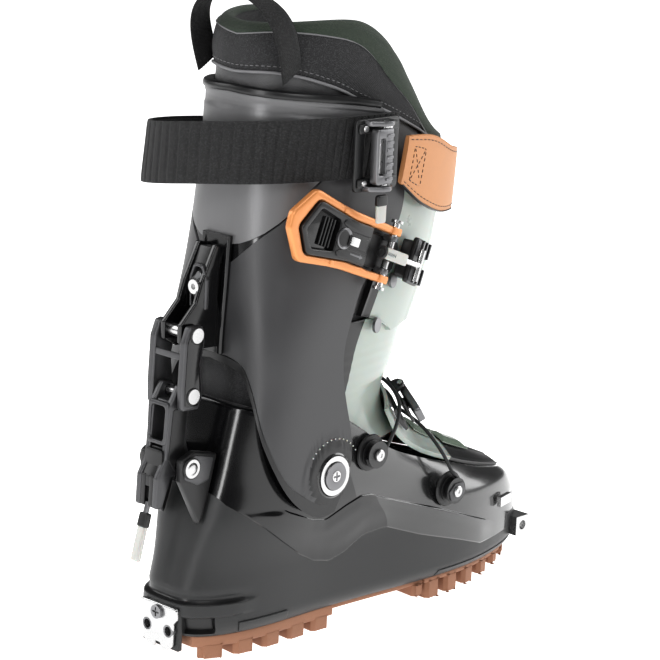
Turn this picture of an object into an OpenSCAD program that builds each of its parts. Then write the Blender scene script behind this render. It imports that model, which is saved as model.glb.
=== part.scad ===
// A right-foot ski touring boot: a hard lower shell, a cuff that flexes on an ankle pivot,
// a soft liner, a walk lever at the back, an over-centre buckle and a wide top strap.
// +X is the toe, +Y is the inner side of the foot, +Z is up.
// The origin is on the ground, straight below the cuff pivot.

/* [Lower shell] */
// Height of the cuff pivot above the ground
pivot_z = 100.6; // [95:0.1:106]
// Half width of the shell round the ankle
ankle_w = 41.5; // [38:0.5:43]
// Thickness of the shell wall
shell_wall = 3.5; // [2.5:0.25:4.5]
// Gap between the shell and the foam liner
liner_gap = 1.2; // [0.4:0.1:1.5]

/* [Cuff] */
// Half width of the cuff at its lower flaps
cuff_w = 46.8; // [46.5:0.1:49]
// Thickness of the cuff wall
cuff_wall = 3.4; // [2.5:0.1:4]
// Radius of the round cap on the cuff pivot
pivot_cap_r = 13.5; // [10:0.5:16]

/* [Liner] */
// Thickness of the foam liner
foam = 7; // [5:0.5:9]
// Width of the webbing of the pull loop
loop_w = 18; // [12:1:24]

/* [Walk mechanism] */
// Radius of the three pins of the link
pin_r = 3.5; // [2.5:0.25:4]
// Radial clearance of each pin in its bore
fit = 0.06; // [0.03:0.01:0.1]

/* [Strap and buckle] */
// Width of the top strap
strap_w = 34; // [28:1:40]
// Thickness of the top strap
strap_t = 3.2; // [2:0.2:4]
// Slope of the cuff buckle down towards the front
buckle_tilt = -21; // [-24:1:-12]

/* [Hidden] */

round_fn = 48;
ring_n = 40;

// Sizes of the walk link, from the shell pin up to the cuff pin
link_foot = [-81, 0, 113];
link_length = 74;
link_lean = 3.1;
lock_up = 40;
frame_gap = 9.5;
frame_t = 5;

// Places of the cuff buckle and of the strap buckle on the outer side
buckle_at = [26, -58, 226];
strap_cam_at = [10, -61, 285];
instep_at = [82, -21.5, 123.6];

// ---------------------------------------------------------------- general functions
function clamp(v, lo, hi) = min(max(v, lo), hi);
function smooth(t) = t * t * (3 - 2 * t);
function spow(v, e) = sign(v) * pow(abs(v), e);
// Smooth curve through a table of [position, value] rows
function slope(rows, i) = let(a = max(i - 1, 0), b = min(i + 1, len(rows) - 1))
  (rows[b][1] - rows[a][1]) / (rows[b][0] - rows[a][0]);
function seat(rows, v, i = 0) = (i >= len(rows) - 2 || v < rows[i + 1][0]) ? i : seat(rows, v, i + 1);
function track(rows, v) = let(
    w = clamp(v, rows[0][0], rows[len(rows) - 1][0]),
    i = seat(rows, w),
    h = rows[i + 1][0] - rows[i][0],
    t = (w - rows[i][0]) / h)
  rows[i][1] * (2 * t * t * t - 3 * t * t + 1) + slope(rows, i) * h * (t * t * t - 2 * t * t + t)
  + rows[i + 1][1] * (3 * t * t - 2 * t * t * t) + slope(rows, i + 1) * h * (t * t * t - t * t);

// Faces between row r and row r + 1 of a grid with n columns, starting at vertex s
function band(s, n, r, closed, flip) = [for (c = [0:(closed ? n - 1 : n - 2)])
  let(a = s + r * n + c, b = s + r * n + (c + 1) % n, d = a + n, e = b + n)
  flip ? [a, b, e, d] : [a, d, e, b]];
function flat(lists) = [for (l = lists) for (v = l) v];

// A hollow cup from two closed grids of rings, each a list of rings from the floor up
module cup(outer, inner) {
  n = len(outer[0]);
  m = len(outer);
  k = len(inner);
  s = n * m;
  top = [for (c = [0:n - 1]) let(a = s - n + c, b = s - n + (c + 1) % n) [a, a + n * k, b + n * k, b]];
  polyhedron(concat(flat(outer), flat(inner)), concat(
    flat([for (r = [0:m - 2]) band(0, n, r, true, false)]),
    flat([for (r = [0:k - 2]) band(s, n, r, true, true)]),
    top, [[for (c = [0:n - 1]) c]], [[for (c = [n - 1:-1:0]) s + c]]), convexity = 6);
}
// A tube wall, open at both ends
module sleeve(outer, inner) {
  n = len(outer[0]);
  m = len(outer);
  s = n * m;
  top = [for (c = [0:n - 1]) let(a = s - n + c, b = s - n + (c + 1) % n) [a, a + s, b + s, b]];
  low = [for (c = [0:n - 1]) let(a = c, b = (c + 1) % n) [a, b, b + s, a + s]];
  polyhedron(concat(flat(outer), flat(inner)), concat(
    flat([for (r = [0:m - 2]) band(0, n, r, true, false)]),
    flat([for (r = [0:m - 2]) band(s, n, r, true, true)]), top, low), convexity = 6);
}
// A curved plate between two open grids that face each other
module plate(outer, inner) {
  n = len(outer[0]);
  m = len(outer);
  s = n * m;
  top = [for (c = [0:n - 2]) let(a = s - n + c) [a, a + s, a + s + 1, a + 1]];
  low = [for (c = [0:n - 2]) [c, c + 1, c + 1 + s, c + s]];
  left = [for (r = [0:m - 2]) let(a = r * n) [a, a + s, a + s + n, a + n]];
  right = [for (r = [0:m - 2]) let(a = r * n + n - 1) [a, a + n, a + n + s, a + s]];
  polyhedron(concat(flat(outer), flat(inner)), concat(
    flat([for (r = [0:m - 2]) band(0, n, r, false, false)]),
    flat([for (r = [0:m - 2]) band(s, n, r, false, true)]), top, low, left, right), convexity = 6);
}
// A solid from a stack of closed rings
module stack(rings) {
  n = len(rings[0]);
  m = len(rings);
  polyhedron(flat(rings), concat(flat([for (r = [0:m - 2]) band(0, n, r, true, false)]),
    [[for (c = [0:n - 1]) c]], [[for (c = [n - 1:-1:0]) n * (m - 1) + c]]), convexity = 4);
}

// Placement on the outer side of the boot: local X runs forward, Y up and Z outward
module on_side(at, tilt = 0) translate(at) rotate([90, 0, 0]) rotate([0, 0, tilt]) children();
// Placement in the frame of the walk link: local X is outward to the back, Z runs up the link
module on_link() translate(link_foot) rotate([0, link_lean, 0]) children();
module bar_y(r, y0, y1, fn = round_fn)
  translate([0, y0, 0]) rotate([-90, 0, 0]) cylinder(h = y1 - y0, r = r, $fn = fn);
module slab(points, t) linear_extrude(height = t) polygon(points);

// ---------------------------------------------------------------- lower shell
// Rear and front ends of the shell at each height
shell_rear = [[14, 81], [22, 84], [32, 84], [42, 81.5], [60, 76.5], [80, 71], [102, 64], [132, 57],
    [158, 51]];
shell_front = [[14, 200], [22, 205], [32, 206], [42, 204], [52, 200], [60, 193], [66, 181], [72, 164],
  [80, 147], [90, 124], [102, 98], [116, 80], [132, 64], [158, 54]];
// Half width of the sole along its length, outer and inner side
side_outer = [[-84, 33], [-50, 35], [10, 35], [50, 37.5], [107, 43.5], [140, 45], [177, 42], [206, 37]];
side_inner = [[-84, 33], [-50, 35], [10, 34], [50, 36], [107, 44], [140, 46.5], [177, 42], [206, 36]];
// Top edge of the shell against the angle from the toe
shell_edge = [[0, 62], [10, 63], [20, 67], [30, 74.5], [45, 88], [60, 105.5], [75, 126], [90, 135],
    [130, 139], [180, 142]];
function sole_w(x, outer_side) = track(outer_side ? side_outer : side_inner, x);
function shell_w(x, z, outer_side) = let(
    t = smooth(clamp((z - 48) / 40, 0, 1)), low = 1 - 0.1 * pow(clamp((22 - z) / 8, 0, 1), 2))
  (1 - t) * sole_w(x, outer_side) * low + t * ankle_w;
function shell_point(a, z, inset) = let(
    c = cos(a),
    x = c >= 0 ? (track(shell_front, z) - inset) * pow(c, 0.75) : -(track(shell_rear, z) - inset)
        * pow(-c, 0.75))
  [x, (sin(a) < 0 ? -1 : 1) * (shell_w(x, z, sin(a) < 0) - inset) * pow(abs(sin(a)), 0.6), z];
function fold_angle(a) = a > 180 ? 360 - a : a;
function ring_angle(c, n) = 360 * c / n;
function shell_ring(v, base, inset, drop, n) = [for (c = [0:n - 1]) let(a = ring_angle(c, n))
  shell_point(a, base + (track(shell_edge, fold_angle(a)) - drop - base) * v, inset)];
module lower_shell() {
  levels = [0, 0.06, 0.13, 0.21, 0.3, 0.4, 0.5, 0.6, 0.7, 0.8, 0.9, 1];
  color("dimgray") difference() {
    cup([for (v = levels) shell_ring(v, 14, 0, 0, 56)],
      [for (v = levels) shell_ring(v, 14 + shell_wall, shell_wall, 0, 56)]);
    translate([0, 0, pivot_z]) bar_y(6, -60, 60);
    toe_pocket();
    translate([-92, -15, 14 - 1]) cube([14, 30, 20]);
  }
}

// ---------------------------------------------------------------- sole
tread_top = 13.95;
sole_trim = 0.91;
function rocker(x) = x > 105 ? 0.00095 * (x - 105) * (x - 105) : 0;
function sole_ring(x0, x1, z, scale, n) = [for (c = [0:n - 1]) let(a = ring_angle(c, n), q = cos(a),
    x = (x0 + x1) / 2 + (x1 - x0) / 2 * spow(q, 0.6))
  [x, (sin(a) < 0 ? -1 : 1) * scale * sole_w(x, sin(a) < 0) * sole_trim * pow(abs(sin(a)), 0.45), z]];
module lug(x, y, long, wide, base) {
  low = rocker(x + long / 2);
  translate([x, y, low]) linear_extrude(height = base - low)
    polygon([[-long / 2, -wide / 2], [long / 2, -wide / 2 + 2], [long / 2, wide / 2 - 2],
        [-long / 2, wide / 2]]);
}
module heel_tread() {
  color("peru") difference() {
    union() {
      stack([sole_ring(-81, 22, 7, 0.98, 32), sole_ring(-82, 22, tread_top, 1, 32)]);
      for (x = [-66, -45, -24, -3])
        for (s = [-1, 1])
          lug(x, s * 23.5, 13, 19, 7.5);
      lug(3, 0, 17, 14, 7.5);
      lug(-33, 0, 20, 10, 7.5);
    }
    translate([-92, -15, -1]) cube([16, 30, 20]);
  }
}
module arch_tread() {
  color("peru") stack([sole_ring(22.2, 96.8, 10.2, 0.85, 24), sole_ring(22.2, 96.8, tread_top, 0.9, 24)]);
}
module forefoot_tread() {
  color("peru") difference() {
    union() {
      stack([sole_ring(97, 198, 10.5, 0.97, 32), sole_ring(97, 199, tread_top, 1, 32)]);
      for (x = [107, 125, 143, 161])
        for (s = [-1, 1])
          lug(x, s * 30, 12, 22, 11);
      for (x = [116, 134, 152])
        lug(x, 0, 10, 16, 11);
      for (s = [-1, 1])
        lug(178, s * 23, 11, 20, 11);
    }
    translate([190, -30, 0]) cube([20, 60, 20]);
  }
}
module heel_insert() {
  color("silver") difference() {
    union() {
      translate([-87.5, -14.7, 5]) cube([6, 29.4, 27]);
      translate([-82, -14.7, 5]) cube([5.6, 29.4, 5]);
    }
    for (s = [-1, 1])
      translate([-88, s * 8.5, 17.4]) rotate([0, 90, 0]) cylinder(h = 7, r = 2.6, $fn = round_fn);
    translate([-88, 0, 27]) rotate([0, 90, 0]) cylinder(h = 7, r = 2.2, $fn = round_fn);
    translate([-88, -2.2, 4]) cube([4, 4.4, 9]);
  }
}
module heel_insert_screws() {
  color("silver") translate([-87.6, 0, 27]) rotate([0, 90, 0]) difference() {
    union() {
      cylinder(h = 7.4, r = 2.2, $fn = round_fn);
      translate([0, 0, -1.6]) cylinder(h = 1.65, r = 4, $fn = round_fn);
    }
    translate([0, 0, -2]) for (t = [0, 90]) rotate([0, 0, t]) translate([-2.6, -0.5, 0]) cube(
        [5.2, 1, 1.2]);
  }
}
module toe_pocket() translate([186.8, -60, 19.8]) cube([12.4, 120, 12.4]);
module toe_clips() {
  color("silver") for (s = [-1, 1])
    translate([168, s * 35.4, 49]) rotate([0, 0, -s * 14]) translate([-7, -1.4, -3]) cube([14, 2.8, 6]);
}
module toe_insert() {
  color("silver") difference() {
    translate([187, -31, 20]) cube([12, 62, 12]);
    for (s = [-1, 1])
      translate([193, s * 31, 26]) rotate([90, 0, 0]) cylinder(h = 8, r = 3, center = true, $fn = round_fn);
  }
}

// ---------------------------------------------------------------- inside the shell
module boot_board() {
  color("gainsboro") stack([sole_ring(-76, 185, 14 + shell_wall + 0.02, 0.79, 32), sole_ring(-76, 185,
      22, 0.82, 32)]);
}
liner_inset = shell_wall + liner_gap;
liner_base = 22.3;
module liner_foot() {
  levels = [0, 0.12, 0.3, 0.5, 0.7, 0.85, 1];
  color("darkslategray") difference() {
    cup([for (v = levels) shell_ring(v, liner_base, liner_inset, 3, 40)],
      [for (v = levels) shell_ring(v, liner_base + 3, liner_inset + foam, 3, 40)]);
    translate([186, -40, 20]) cube([30, 80, 13]);
  }
}
module footbed() {
  color("olivedrab") stack([sole_ring(-66, 178, liner_base + 3.05, 0.62, 24), sole_ring(-66, 178,
      liner_base + 6, 0.62, 24)]);
}

// ---------------------------------------------------------------- instep tongue
// Centre line of the tongue over the instep: position along it, then X and Z
instep_x = [[0, 178], [0.2, 160], [0.45, 128], [0.7, 98], [0.87, 81], [1, 73]];
instep_z = [[0, 69], [0.2, 77], [0.45, 90.5], [0.7, 106], [0.87, 121], [1, 137]];
instep_w = [[0, 20], [0.3, 27], [0.7, 33], [1, 38]];
instep_fall = [[0, 4], [0.3, 9], [0.7, 15], [1, 24]];
function instep_lean(t) = atan2(track(instep_z, t + 0.02) - track(instep_z, t - 0.02),
  track(instep_x, t - 0.02) - track(instep_x, t + 0.02));
function instep_point(t, u, lift) = let(a = instep_lean(clamp(t, 0.03, 0.97)),
    down = track(instep_fall, t) * u * u)
  [track(instep_x, t) + (lift - down) * sin(a), u * (track(instep_w, t) + lift * 0.4),
   track(instep_z, t) + (lift - down) * cos(a)];
module instep_tongue() {
  color("lightslategray") plate(
    [for (r = [0:10]) [for (c = [-7:7]) instep_point(r / 10, c / 7, 2.6)]],
    [for (r = [0:10]) [for (c = [-7:7]) instep_point(r / 10, c / 7, 0)]]);
}
module instep_plates() {
  color("darkseagreen") for (k = [[0.26, 0.46], [0.53, 0.7]])
    plate([for (r = [0:4]) [for (c = [-4:4]) instep_point(k[0] + (k[1] - k[0]) * r / 4, c / 6.5, 5)]],
      [for (r = [0:4]) [for (c = [-4:4]) instep_point(k[0] + (k[1] - k[0]) * r / 4, c / 6.5, 2.8)]]);
}
// Strap over the ankle end of the tongue
module instep_strap() {
  color("black") plate(
    [for (r = [0:2]) [for (c = [-7:6]) instep_point(0.82 + 0.12 * r / 2, c / 8, 6)]],
    [for (r = [0:2]) [for (c = [-7:6]) instep_point(0.82 + 0.12 * r / 2, c / 8, 3.6)]]);
}
module instep_frame() translate(instep_at) rotate([0, 54, 0]) rotate([30, 0, 0]) children();
module instep_buckle_base() {
  color("black") instep_frame() difference() {
    union() {
      translate([-9, -14, 0.6]) cube([18, 30, 1.6]);
      for (s = [-1, 1])
        translate([s * 7.8 - 1.2, -1, 0.6]) cube([2.4, 11, 7.6]);
    }
    translate([-12, 4, 6]) rotate([0, 90, 0]) cylinder(h = 24, r = 1.6 + fit, $fn = round_fn);
  }
}
module instep_lever() {
  color("dimgray") instep_frame() {
    difference() {
      translate([-6.2, -21, 3.8]) cube([12.4, 27.5, 4.6]);
      translate([-3, -16, 6]) cube([6, 14, 5]);
    }
    translate([-9.5, 4, 6]) rotate([0, 90, 0]) cylinder(h = 19, r = 1.6, $fn = round_fn);
  }
}

// ---------------------------------------------------------------- lace
pulley_r = 8;
pulley_t = 5;
rear_pulley = [36, 41.6, 106];
front_pulley = [107, 41, 70];
module pulley_place(at, side) translate([at[0], side * at[1], at[2]]) rotate([side > 0 ? -90 : 90, 0, 0])
    children();
module pulley(at, side) {
  color("black") pulley_place(at, side) translate([0, 0, 2.4]) rotate_extrude($fn = round_fn)
    polygon([[2 + fit, 0], [pulley_r, 0], [pulley_r, 0.5], [pulley_r - 2.6, 1],
        [pulley_r - 2.6, pulley_t - 1],
      [pulley_r, pulley_t - 0.5], [pulley_r, pulley_t], [2 + fit, pulley_t]]);
}
module pulley_rear_outer() pulley(rear_pulley, -1);
module pulley_front_outer() pulley(front_pulley, -1);
module pulley_rear_inner() pulley(rear_pulley, 1);
module pulley_front_inner() pulley(front_pulley, 1);
module pulley_brackets() {
  color("silver") for (p = [rear_pulley, front_pulley]) for (s = [-1, 1])
    pulley_place(p, s) difference() {
      cylinder(h = 2, r = pulley_r + 1.5, $fn = round_fn);
      translate([0, 0, -1]) cylinder(h = 4, r = 2 + fit / 2, $fn = round_fn);
    }
}
module pulley_axles() {
  color("silver") for (p = [rear_pulley, front_pulley]) for (s = [-1, 1])
    pulley_place(p, s) {
      cylinder(h = 8, r = 2, $fn = round_fn);
      translate([0, 0, 7.7]) cylinder(h = 1.3, r = 3.4, $fn = round_fn);
    }
}
// The cable runs from side to side over the tongue, round the pulleys on each side
cable_route = [[29, -46.5, 104.6], [31.2, -46.5, 100.6], [36, -46.5, 98.7], [41, -46.5, 100.8],
    [44.5, -46.5, 107],
  [56, -44, 120], [66, -36, 129], [74, -20, 135.5], [78, 0, 138]];
cable_front = [[113.4, -45.9, 66.4], [114.4, -45.9, 70.4], [112, -45.9, 75.4], [106, -45.4, 81],
    [101, -40, 94],
  [98, -28, 106], [96, -12, 113.5], [95.5, 0, 115]];
cable_r = 1.1;
module cord(route) {
  last = len(route) - 1;
  function tangent(i) = let(d = route[min(i + 1, last)] - route[max(i - 1, 0)]) d / norm(d);
  function across(t) = let(a = cross(t, [0.3, 0.1, 1])) a / norm(a);
  stack([for (i = [0:last]) let(t = tangent(i), a = across(t), b = cross(t, a))
    [for (c = [0:7]) route[i] + cable_r * (cos(c * 45) * a + sin(c * 45) * b)]]);
}
// A route over the instep, from its outer half and the mirror of that half
function both_sides(half) = concat(half, [for (i = [len(half) - 2:-1:0]) [half[i][0], -half[i][1],
    half[i][2]]]);
function between(route, k) = [for (i = [0:len(route) - 2]) for (j = [0:k - 1])
  let(t = j / k, p0 = route[max(i - 1, 0)], p1 = route[i], p2 = route[i + 1], p3 = route[min(i + 2,
      len(route) - 1)])
  0.5 * (2 * p1 + (p2 - p0) * t + (2 * p0 - 5 * p1 + 4 * p2 - p3) * t * t + (3 * p1 - p0 - 3 * p2 + p3)
      * t * t * t)];
module lace_cable() {
  color("black") for (r = [cable_route, cable_front])
    cord(between(both_sides(r), 2));
}

// ---------------------------------------------------------------- walk mechanism on the shell
module link_bracket() {
  color("black") difference() {
    union() {
      for (s = [-1, 1])
        translate([0, s * 14.5 - 2.5, 0]) rotate([90, 0, 0]) mirror([0, 0, 1])
          slab([[-88, 106], [-88, 118], [-78, 122], [-61, 118], [-66, 99], [-70.8, 84], [-73.4, 78]], 5);
    }
    translate(link_foot) bar_y(pin_r + fit / 2, -30, 30);
  }
}
module link_pin() {
  color("silver") translate(link_foot) {
    bar_y(pin_r, -18.5, 18.5);
    for (s = [-1, 1])
      translate([0, s * 17.8, 0]) bar_y(pin_r + 1.8, -0.7, 0.7);
  }
}
module pivot_bushes() {
  color("black") for (s = [-1, 1])
    translate([0, s * 41.2, pivot_z]) rotate([s > 0 ? -90 : 90, 0, 0]) difference() {
      union() {
        translate([0, 0, -3.85]) cylinder(h = 11.85, r = 5.9, $fn = round_fn);
        translate([0, 0, -3.85]) cylinder(h = 0.5, r = 8, $fn = round_fn);
      }
      translate([0, 0, -3]) cylinder(h = 13, r = 2.5, $fn = round_fn);
    }
}

// ---------------------------------------------------------------- cuff
cuff_mid = [[70, 0], [165, 2], [215, 18], [280, 32], [330, 38]];
cuff_back = [[70, 54], [125, 54], [165, 54], [215, 68], [280, 77], [330, 81]];
cuff_fore = [[70, 62], [125, 66], [165, 84], [215, 86], [280, 80], [330, 76]];
cuff_half = [[70, 0], [165, 0.8], [215, 3.4], [280, 5.6], [330, 6.4]];
cuff_power = [[70, 7], [125, 6.5], [165, 5], [215, 3], [280, 2.4], [330, 2.3]];
function cuff_point(a, z, inset) = let(
    c = cos(a),
    l = (c >= 0 ? track(cuff_fore, z) : track(cuff_back, z)) - inset,
    w = cuff_w + track(cuff_half, z) - inset,
    p = track(cuff_power, z),
    r = pow(pow(abs(c) / l, p) + pow(abs(sin(a)) / w, p), -1 / p))
  [track(cuff_mid, z) + r * c, r * sin(a), z];
// Lower and upper edges of the cuff against the angle from the toe
cuff_low = [[0, 120], [60, 110], [75, 84], [90, 78], [105, 78], [120, 87], [130, 100], [140, 124],
    [148, 149],
  [156, 163], [180, 168]];
cuff_high = [[0, 296], [80, 302], [100, 307], [140, 313], [180, 316]];
// Angle of the front edge of the cuff flaps against height
cuff_open = [[78, 90], [100, 74], [120, 73], [165, 86], [190, 90], [212, 90], [235, 73], [262, 73],
    [285, 90], [306, 106]];
function cuff_cell(u, v, inset) = let(
    z0 = track(cuff_low, fold_angle(u)),
    z = z0 + (track(cuff_high, fold_angle(u)) - z0) * v)
  cuff_point(u, z, inset);
function cuff_column(k, v, n) = let(
    s = k <= n / 2 ? k / (n / 2) : (n - k) / (n / 2),
    za = 82 + (302 - 82) * v,
    first = track(cuff_open, za),
    a = first + (180 - first) * pow(s, 0.92))
  k <= n / 2 ? a : 360 - a;
module cuff_bores() {
  for (s = [-1, 1])
    translate([0, s * 41.2, pivot_z]) rotate([s > 0 ? -90 : 90, 0, 0]) cylinder(h = 14, r = 5.9 + fit,
        $fn = round_fn);
}
module cuff_shell() {
  n = 40;
  levels = [for (r = [0:13]) r / 13];
  color("dimgray") difference() {
    union() {
      plate([for (v = levels) [for (k = [0:n]) cuff_cell(cuff_column(k, v, n), v, 0)]],
        [for (v = levels) [for (k = [0:n]) cuff_cell(cuff_column(k, v, n), v, cuff_wall)]]);
      for (s = [-1, 1])
        translate([0, s * (cuff_w - 2), pivot_z]) rotate([s > 0 ? -90 : 90, 0, 0]) cylinder(h = 3.4,
            r = pivot_cap_r, $fn = round_fn);
    }
    cuff_bores();
  }
}
module cuff_spine() {
  levels = [for (r = [0:6]) r / 6];
  color("black") plate(
    [for (v = levels) [for (k = [-8:8]) cuff_point(180 + 1.3 * k * (1 - 0.2 * v), 172 + 66 * v, -2.6)]],
    [for (v = levels) [for (k = [-8:8]) cuff_point(180 + 1.3 * k * (1 - 0.2 * v), 172 + 66 * v, -0.15)]]);
}
module cuff_rim() {
  n = 32;
  color("black") plate(
    [for (v = [0, 1]) [for (k = [0:n]) let(a = 106 + 148 * k / n) cuff_point(a, track(cuff_high,
        fold_angle(a)) + 0.05 + 4 * v, -0.8)]],
    [for (v = [0, 1]) [for (k = [0:n]) let(a = 106 + 148 * k / n) cuff_point(a, track(cuff_high,
        fold_angle(a)) + 0.05 + 4 * v, 4.2)]]);
}
module pivot_rings() {
  color("silver") for (s = [-1, 1])
    translate([0, s * 48.25, pivot_z]) rotate([s > 0 ? -90 : 90, 0, 0]) rotate_extrude($fn = round_fn)
      polygon([[8.5, 0], [11.5, 0], [11.5, 1.2], [8.5, 1.2]]);
}
module pivot_screws() {
  color("gray") for (s = [-1, 1])
    translate([0, s * 41.2, pivot_z]) rotate([s > 0 ? -90 : 90, 0, 0]) difference() {
      union() {
        translate([0, 0, -2]) cylinder(h = 10.1, r = 2.4, $fn = round_fn);
        translate([0, 0, 8.1]) cylinder(h = 1.4, r = 8.2, $fn = round_fn);
      }
      for (t = [0, 90])
        rotate([0, 0, t]) translate([-2.6, -0.5, 8.6]) cube([5.2, 1, 2]);
    }
}

// ---------------------------------------------------------------- walk mechanism on the cuff
module lean_bracket() {
  color("black") difference() {
    translate([0, 8.5, 0]) rotate([90, 0, 0])
      slab(concat([for (z = [176, 190, 204, 218, 232]) [cuff_point(180, z, -2.6)[0] - 0.4, z]],
        [[-58, 234], [-68, 214], [-72, 203], [-83, 192], [-83, 182], [-74, 177]]), 17);
    translate([-77, 0, 187]) bar_y(pin_r + fit / 2, -20, 20);
    translate([-80, -9, 198]) cube([17, 13, 26]);
  }
}
module lean_slot_plate() {
  color("gray") difference() {
    translate([-66, -8.4, 198.5]) cube([2.9, 12, 25]);
    translate([-70, -3, 211]) rotate([0, 90, 0]) cylinder(h = 12, r = 2.6, $fn = round_fn);
  }
}
module lean_bolt() {
  color("silver") translate([-69.8, -3, 211]) rotate([0, 90, 0]) difference() {
    union() {
      cylinder(h = 3.75, r = 4, $fn = round_fn);
      translate([0, 0, 3]) cylinder(h = 3.7, r = 2.5, $fn = round_fn);
    }
    translate([0, 0, -1]) cylinder(h = 2.6, r = 1.8, $fn = 6);
  }
}
module frame_axle() {
  color("silver") translate([-77, 0, 187]) bar_y(pin_r, -9.2, 9.2);
}

// ---------------------------------------------------------------- walk link
module walk_lever() {
  color("black") on_link() difference() {
    union() {
      translate([0, 8.6, 0]) rotate([90, 0, 0])
        slab([[-6, -6], [6, -5], [6, 6], [3, 14], [5, 34], [5, 44], [-5, 46], [-11, 34], [-12, 4],
            [-17, -6], [-17, -24], [-11, -24]], 17.2);
    }
    bar_y(pin_r + fit, -20, 20);
    translate([0, 0, lock_up]) bar_y(2.5 + fit / 2, -20, 20);
    translate([-20, -4.5, 12]) cube([40, 9, 22]);
    translate([-20, -1.5, -18]) cube([20, 3, 10]);
  }
}
module lock_pin() {
  color("silver") on_link() translate([0, 0, lock_up]) bar_y(2.5, -8.6, 8.6);
}
module lock_frame() {
  color("dimgray") on_link() for (s = [-1, 1])
    translate([0, s * (frame_gap + frame_t / 2) + frame_t / 2, 0]) rotate([90, 0, 0]) difference() {
      slab([[-7, 32], [5, 32], [8, 40], [5, 58], [7, 70], [5, 79], [-5, 79], [-8, 70], [-8, 44]], frame_t);
      translate([0, link_length, -1]) cylinder(h = frame_t + 2, r = 2.4, $fn = round_fn);
      translate([0, lock_up, -1]) cylinder(h = frame_t + 2, r = 2.4, $fn = round_fn);
    }
}
module frame_pin_caps() {
  color("silver") on_link() for (h = [lock_up, link_length]) for (s = [-1, 1])
    translate([0, 0, h]) rotate([s > 0 ? -90 : 90, 0, 0]) {
      translate([0, 0, frame_gap + 0.2]) cylinder(h = frame_t, r = 2.36, $fn = round_fn);
      translate([0, 0, frame_gap + frame_t]) cylinder(h = 1.2, r = 4.2, $fn = round_fn);
    }
}
module lock_spring() {
  color("silver") on_link() translate([1, -2.2, 13]) cylinder(h = 20, r = 2, $fn = 24);
}
module lever_tab() {
  color("white") on_link() translate([-15.6, 0, -26.5]) rotate([0, 12, 0]) {
    translate([-1.6, -3, -28]) cube([3.2, 6, 22]);
    translate([-2, -3.4, -6]) cube([4, 6.8, 5.6]);
  }
}

// ---------------------------------------------------------------- shin tongue and liner
liner_cut = 90.5;
// The shin plate follows the cuff line in front, lying outside the liner and inside the cuff flaps
function shin_w(z) = cuff_w + track(cuff_half, z) - cuff_wall - 0.7;
function shin_point(a, z, inset) = let(
    l = track(cuff_fore, z) + 1 - inset,
    w = shin_w(z) - inset,
    p = 2.5,
    r = pow(pow(abs(cos(a)) / l, p) + pow(abs(sin(a)) / w, p), -1 / p))
  [track(cuff_mid, z) + r * cos(a), r * sin(a), z];
shin_low = [[0, 178], [30, 177], [60, 170], [80, 158]];
function shin_cell(a, v, inset) = let(z0 = track(shin_low, abs(a))) shin_point(a, z0 + (272 - z0) * v,
    inset);
module shin_tongue() {
  levels = [for (r = [0:9]) r / 9];
  color("lightgray") difference() {
    plate([for (v = levels) [for (k = [-9:9]) shin_cell(8.4 * k, v, 0)]],
      [for (v = levels) [for (k = [-9:9]) shin_cell(8.4 * k, v, 2.6)]]);
    translate([0, 0, pivot_z]) bar_y(liner_cut, -60, 60);
  }
}
module tongue_rivets() {
  color("gray") for (z = [182, 207])
    translate(shin_point(-58, z, -0.9)) rotate([0, 0, -72]) rotate([0, 90, 0]) cylinder(h = 1.6, r = 4.4,
        $fn = 32);
}
function upper_point(a, z, inset) = let(
    l = (cos(a) >= 0 ? track(cuff_fore, z) - 2.4 : track(cuff_back, z) - cuff_wall - 0.8) - inset,
    w = shin_w(z) - 3.4 - inset,
    p = 2.4,
    r = pow(pow(abs(cos(a)) / l, p) + pow(abs(sin(a)) / w, p), -1 / p))
  [track(cuff_mid, z) + r * cos(a), r * sin(a), z];
upper_edge = [[0, 284], [25, 287], [45, 297], [70, 322], [95, 344], [125, 355], [180, 353]];
function upper_ring(v, inset, n) = [for (c = [0:n - 1]) let(a = ring_angle(c, n), z1 = track(upper_edge,
    fold_angle(a)))
  upper_point(a, 168 + (z1 - 168) * v, inset)];
module liner_upper() {
  levels = [0, 0.1, 0.2, 0.3, 0.4, 0.5, 0.6, 0.7, 0.8, 0.88];
  color("darkslategray") difference() {
    sleeve([for (v = levels) upper_ring(v, 0, ring_n)], [for (v = levels) upper_ring(v, foam, ring_n)]);
    translate([0, 0, pivot_z]) bar_y(liner_cut, -60, 60);
  }
}
module liner_collar() {
  levels = [0.8803, 0.94, 1];
  color("darkolivegreen") sleeve([for (v = levels) upper_ring(v, (v - 0.88) * 16, ring_n)],
    [for (v = levels) upper_ring(v, foam - (v - 0.88) * 20, ring_n)]);
}
// Webbing loop over the opening of the liner
loop_base = 327;
loop_rise = 43;
module pull_loop() {
  n = 20;
  function mid(t) = let(h = pow(sin(180 * t), 0.6))
    [-30 - 12 * h, -1 - 32 * cos(180 * t) * (1 + 0.15 * h), loop_base + loop_rise * h];
  function rail(t, s, o) = mid(t) + [s * loop_w / 2 * 0.8, 0, s * loop_w / 2 * 0.5 * (1 - sin(180 * t))]
    + o * [-1.2 * sin(180 * t), -cos(180 * t) * 1.6, sin(180 * t) * 1.6];
  color("black") plate([for (k = [0:n]) [for (s = [-1, 0, 1]) rail(k / n, s, 1)]],
    [for (k = [0:n]) [for (s = [-1, 0, 1]) rail(k / n, s, 0)]]);
}

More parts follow.
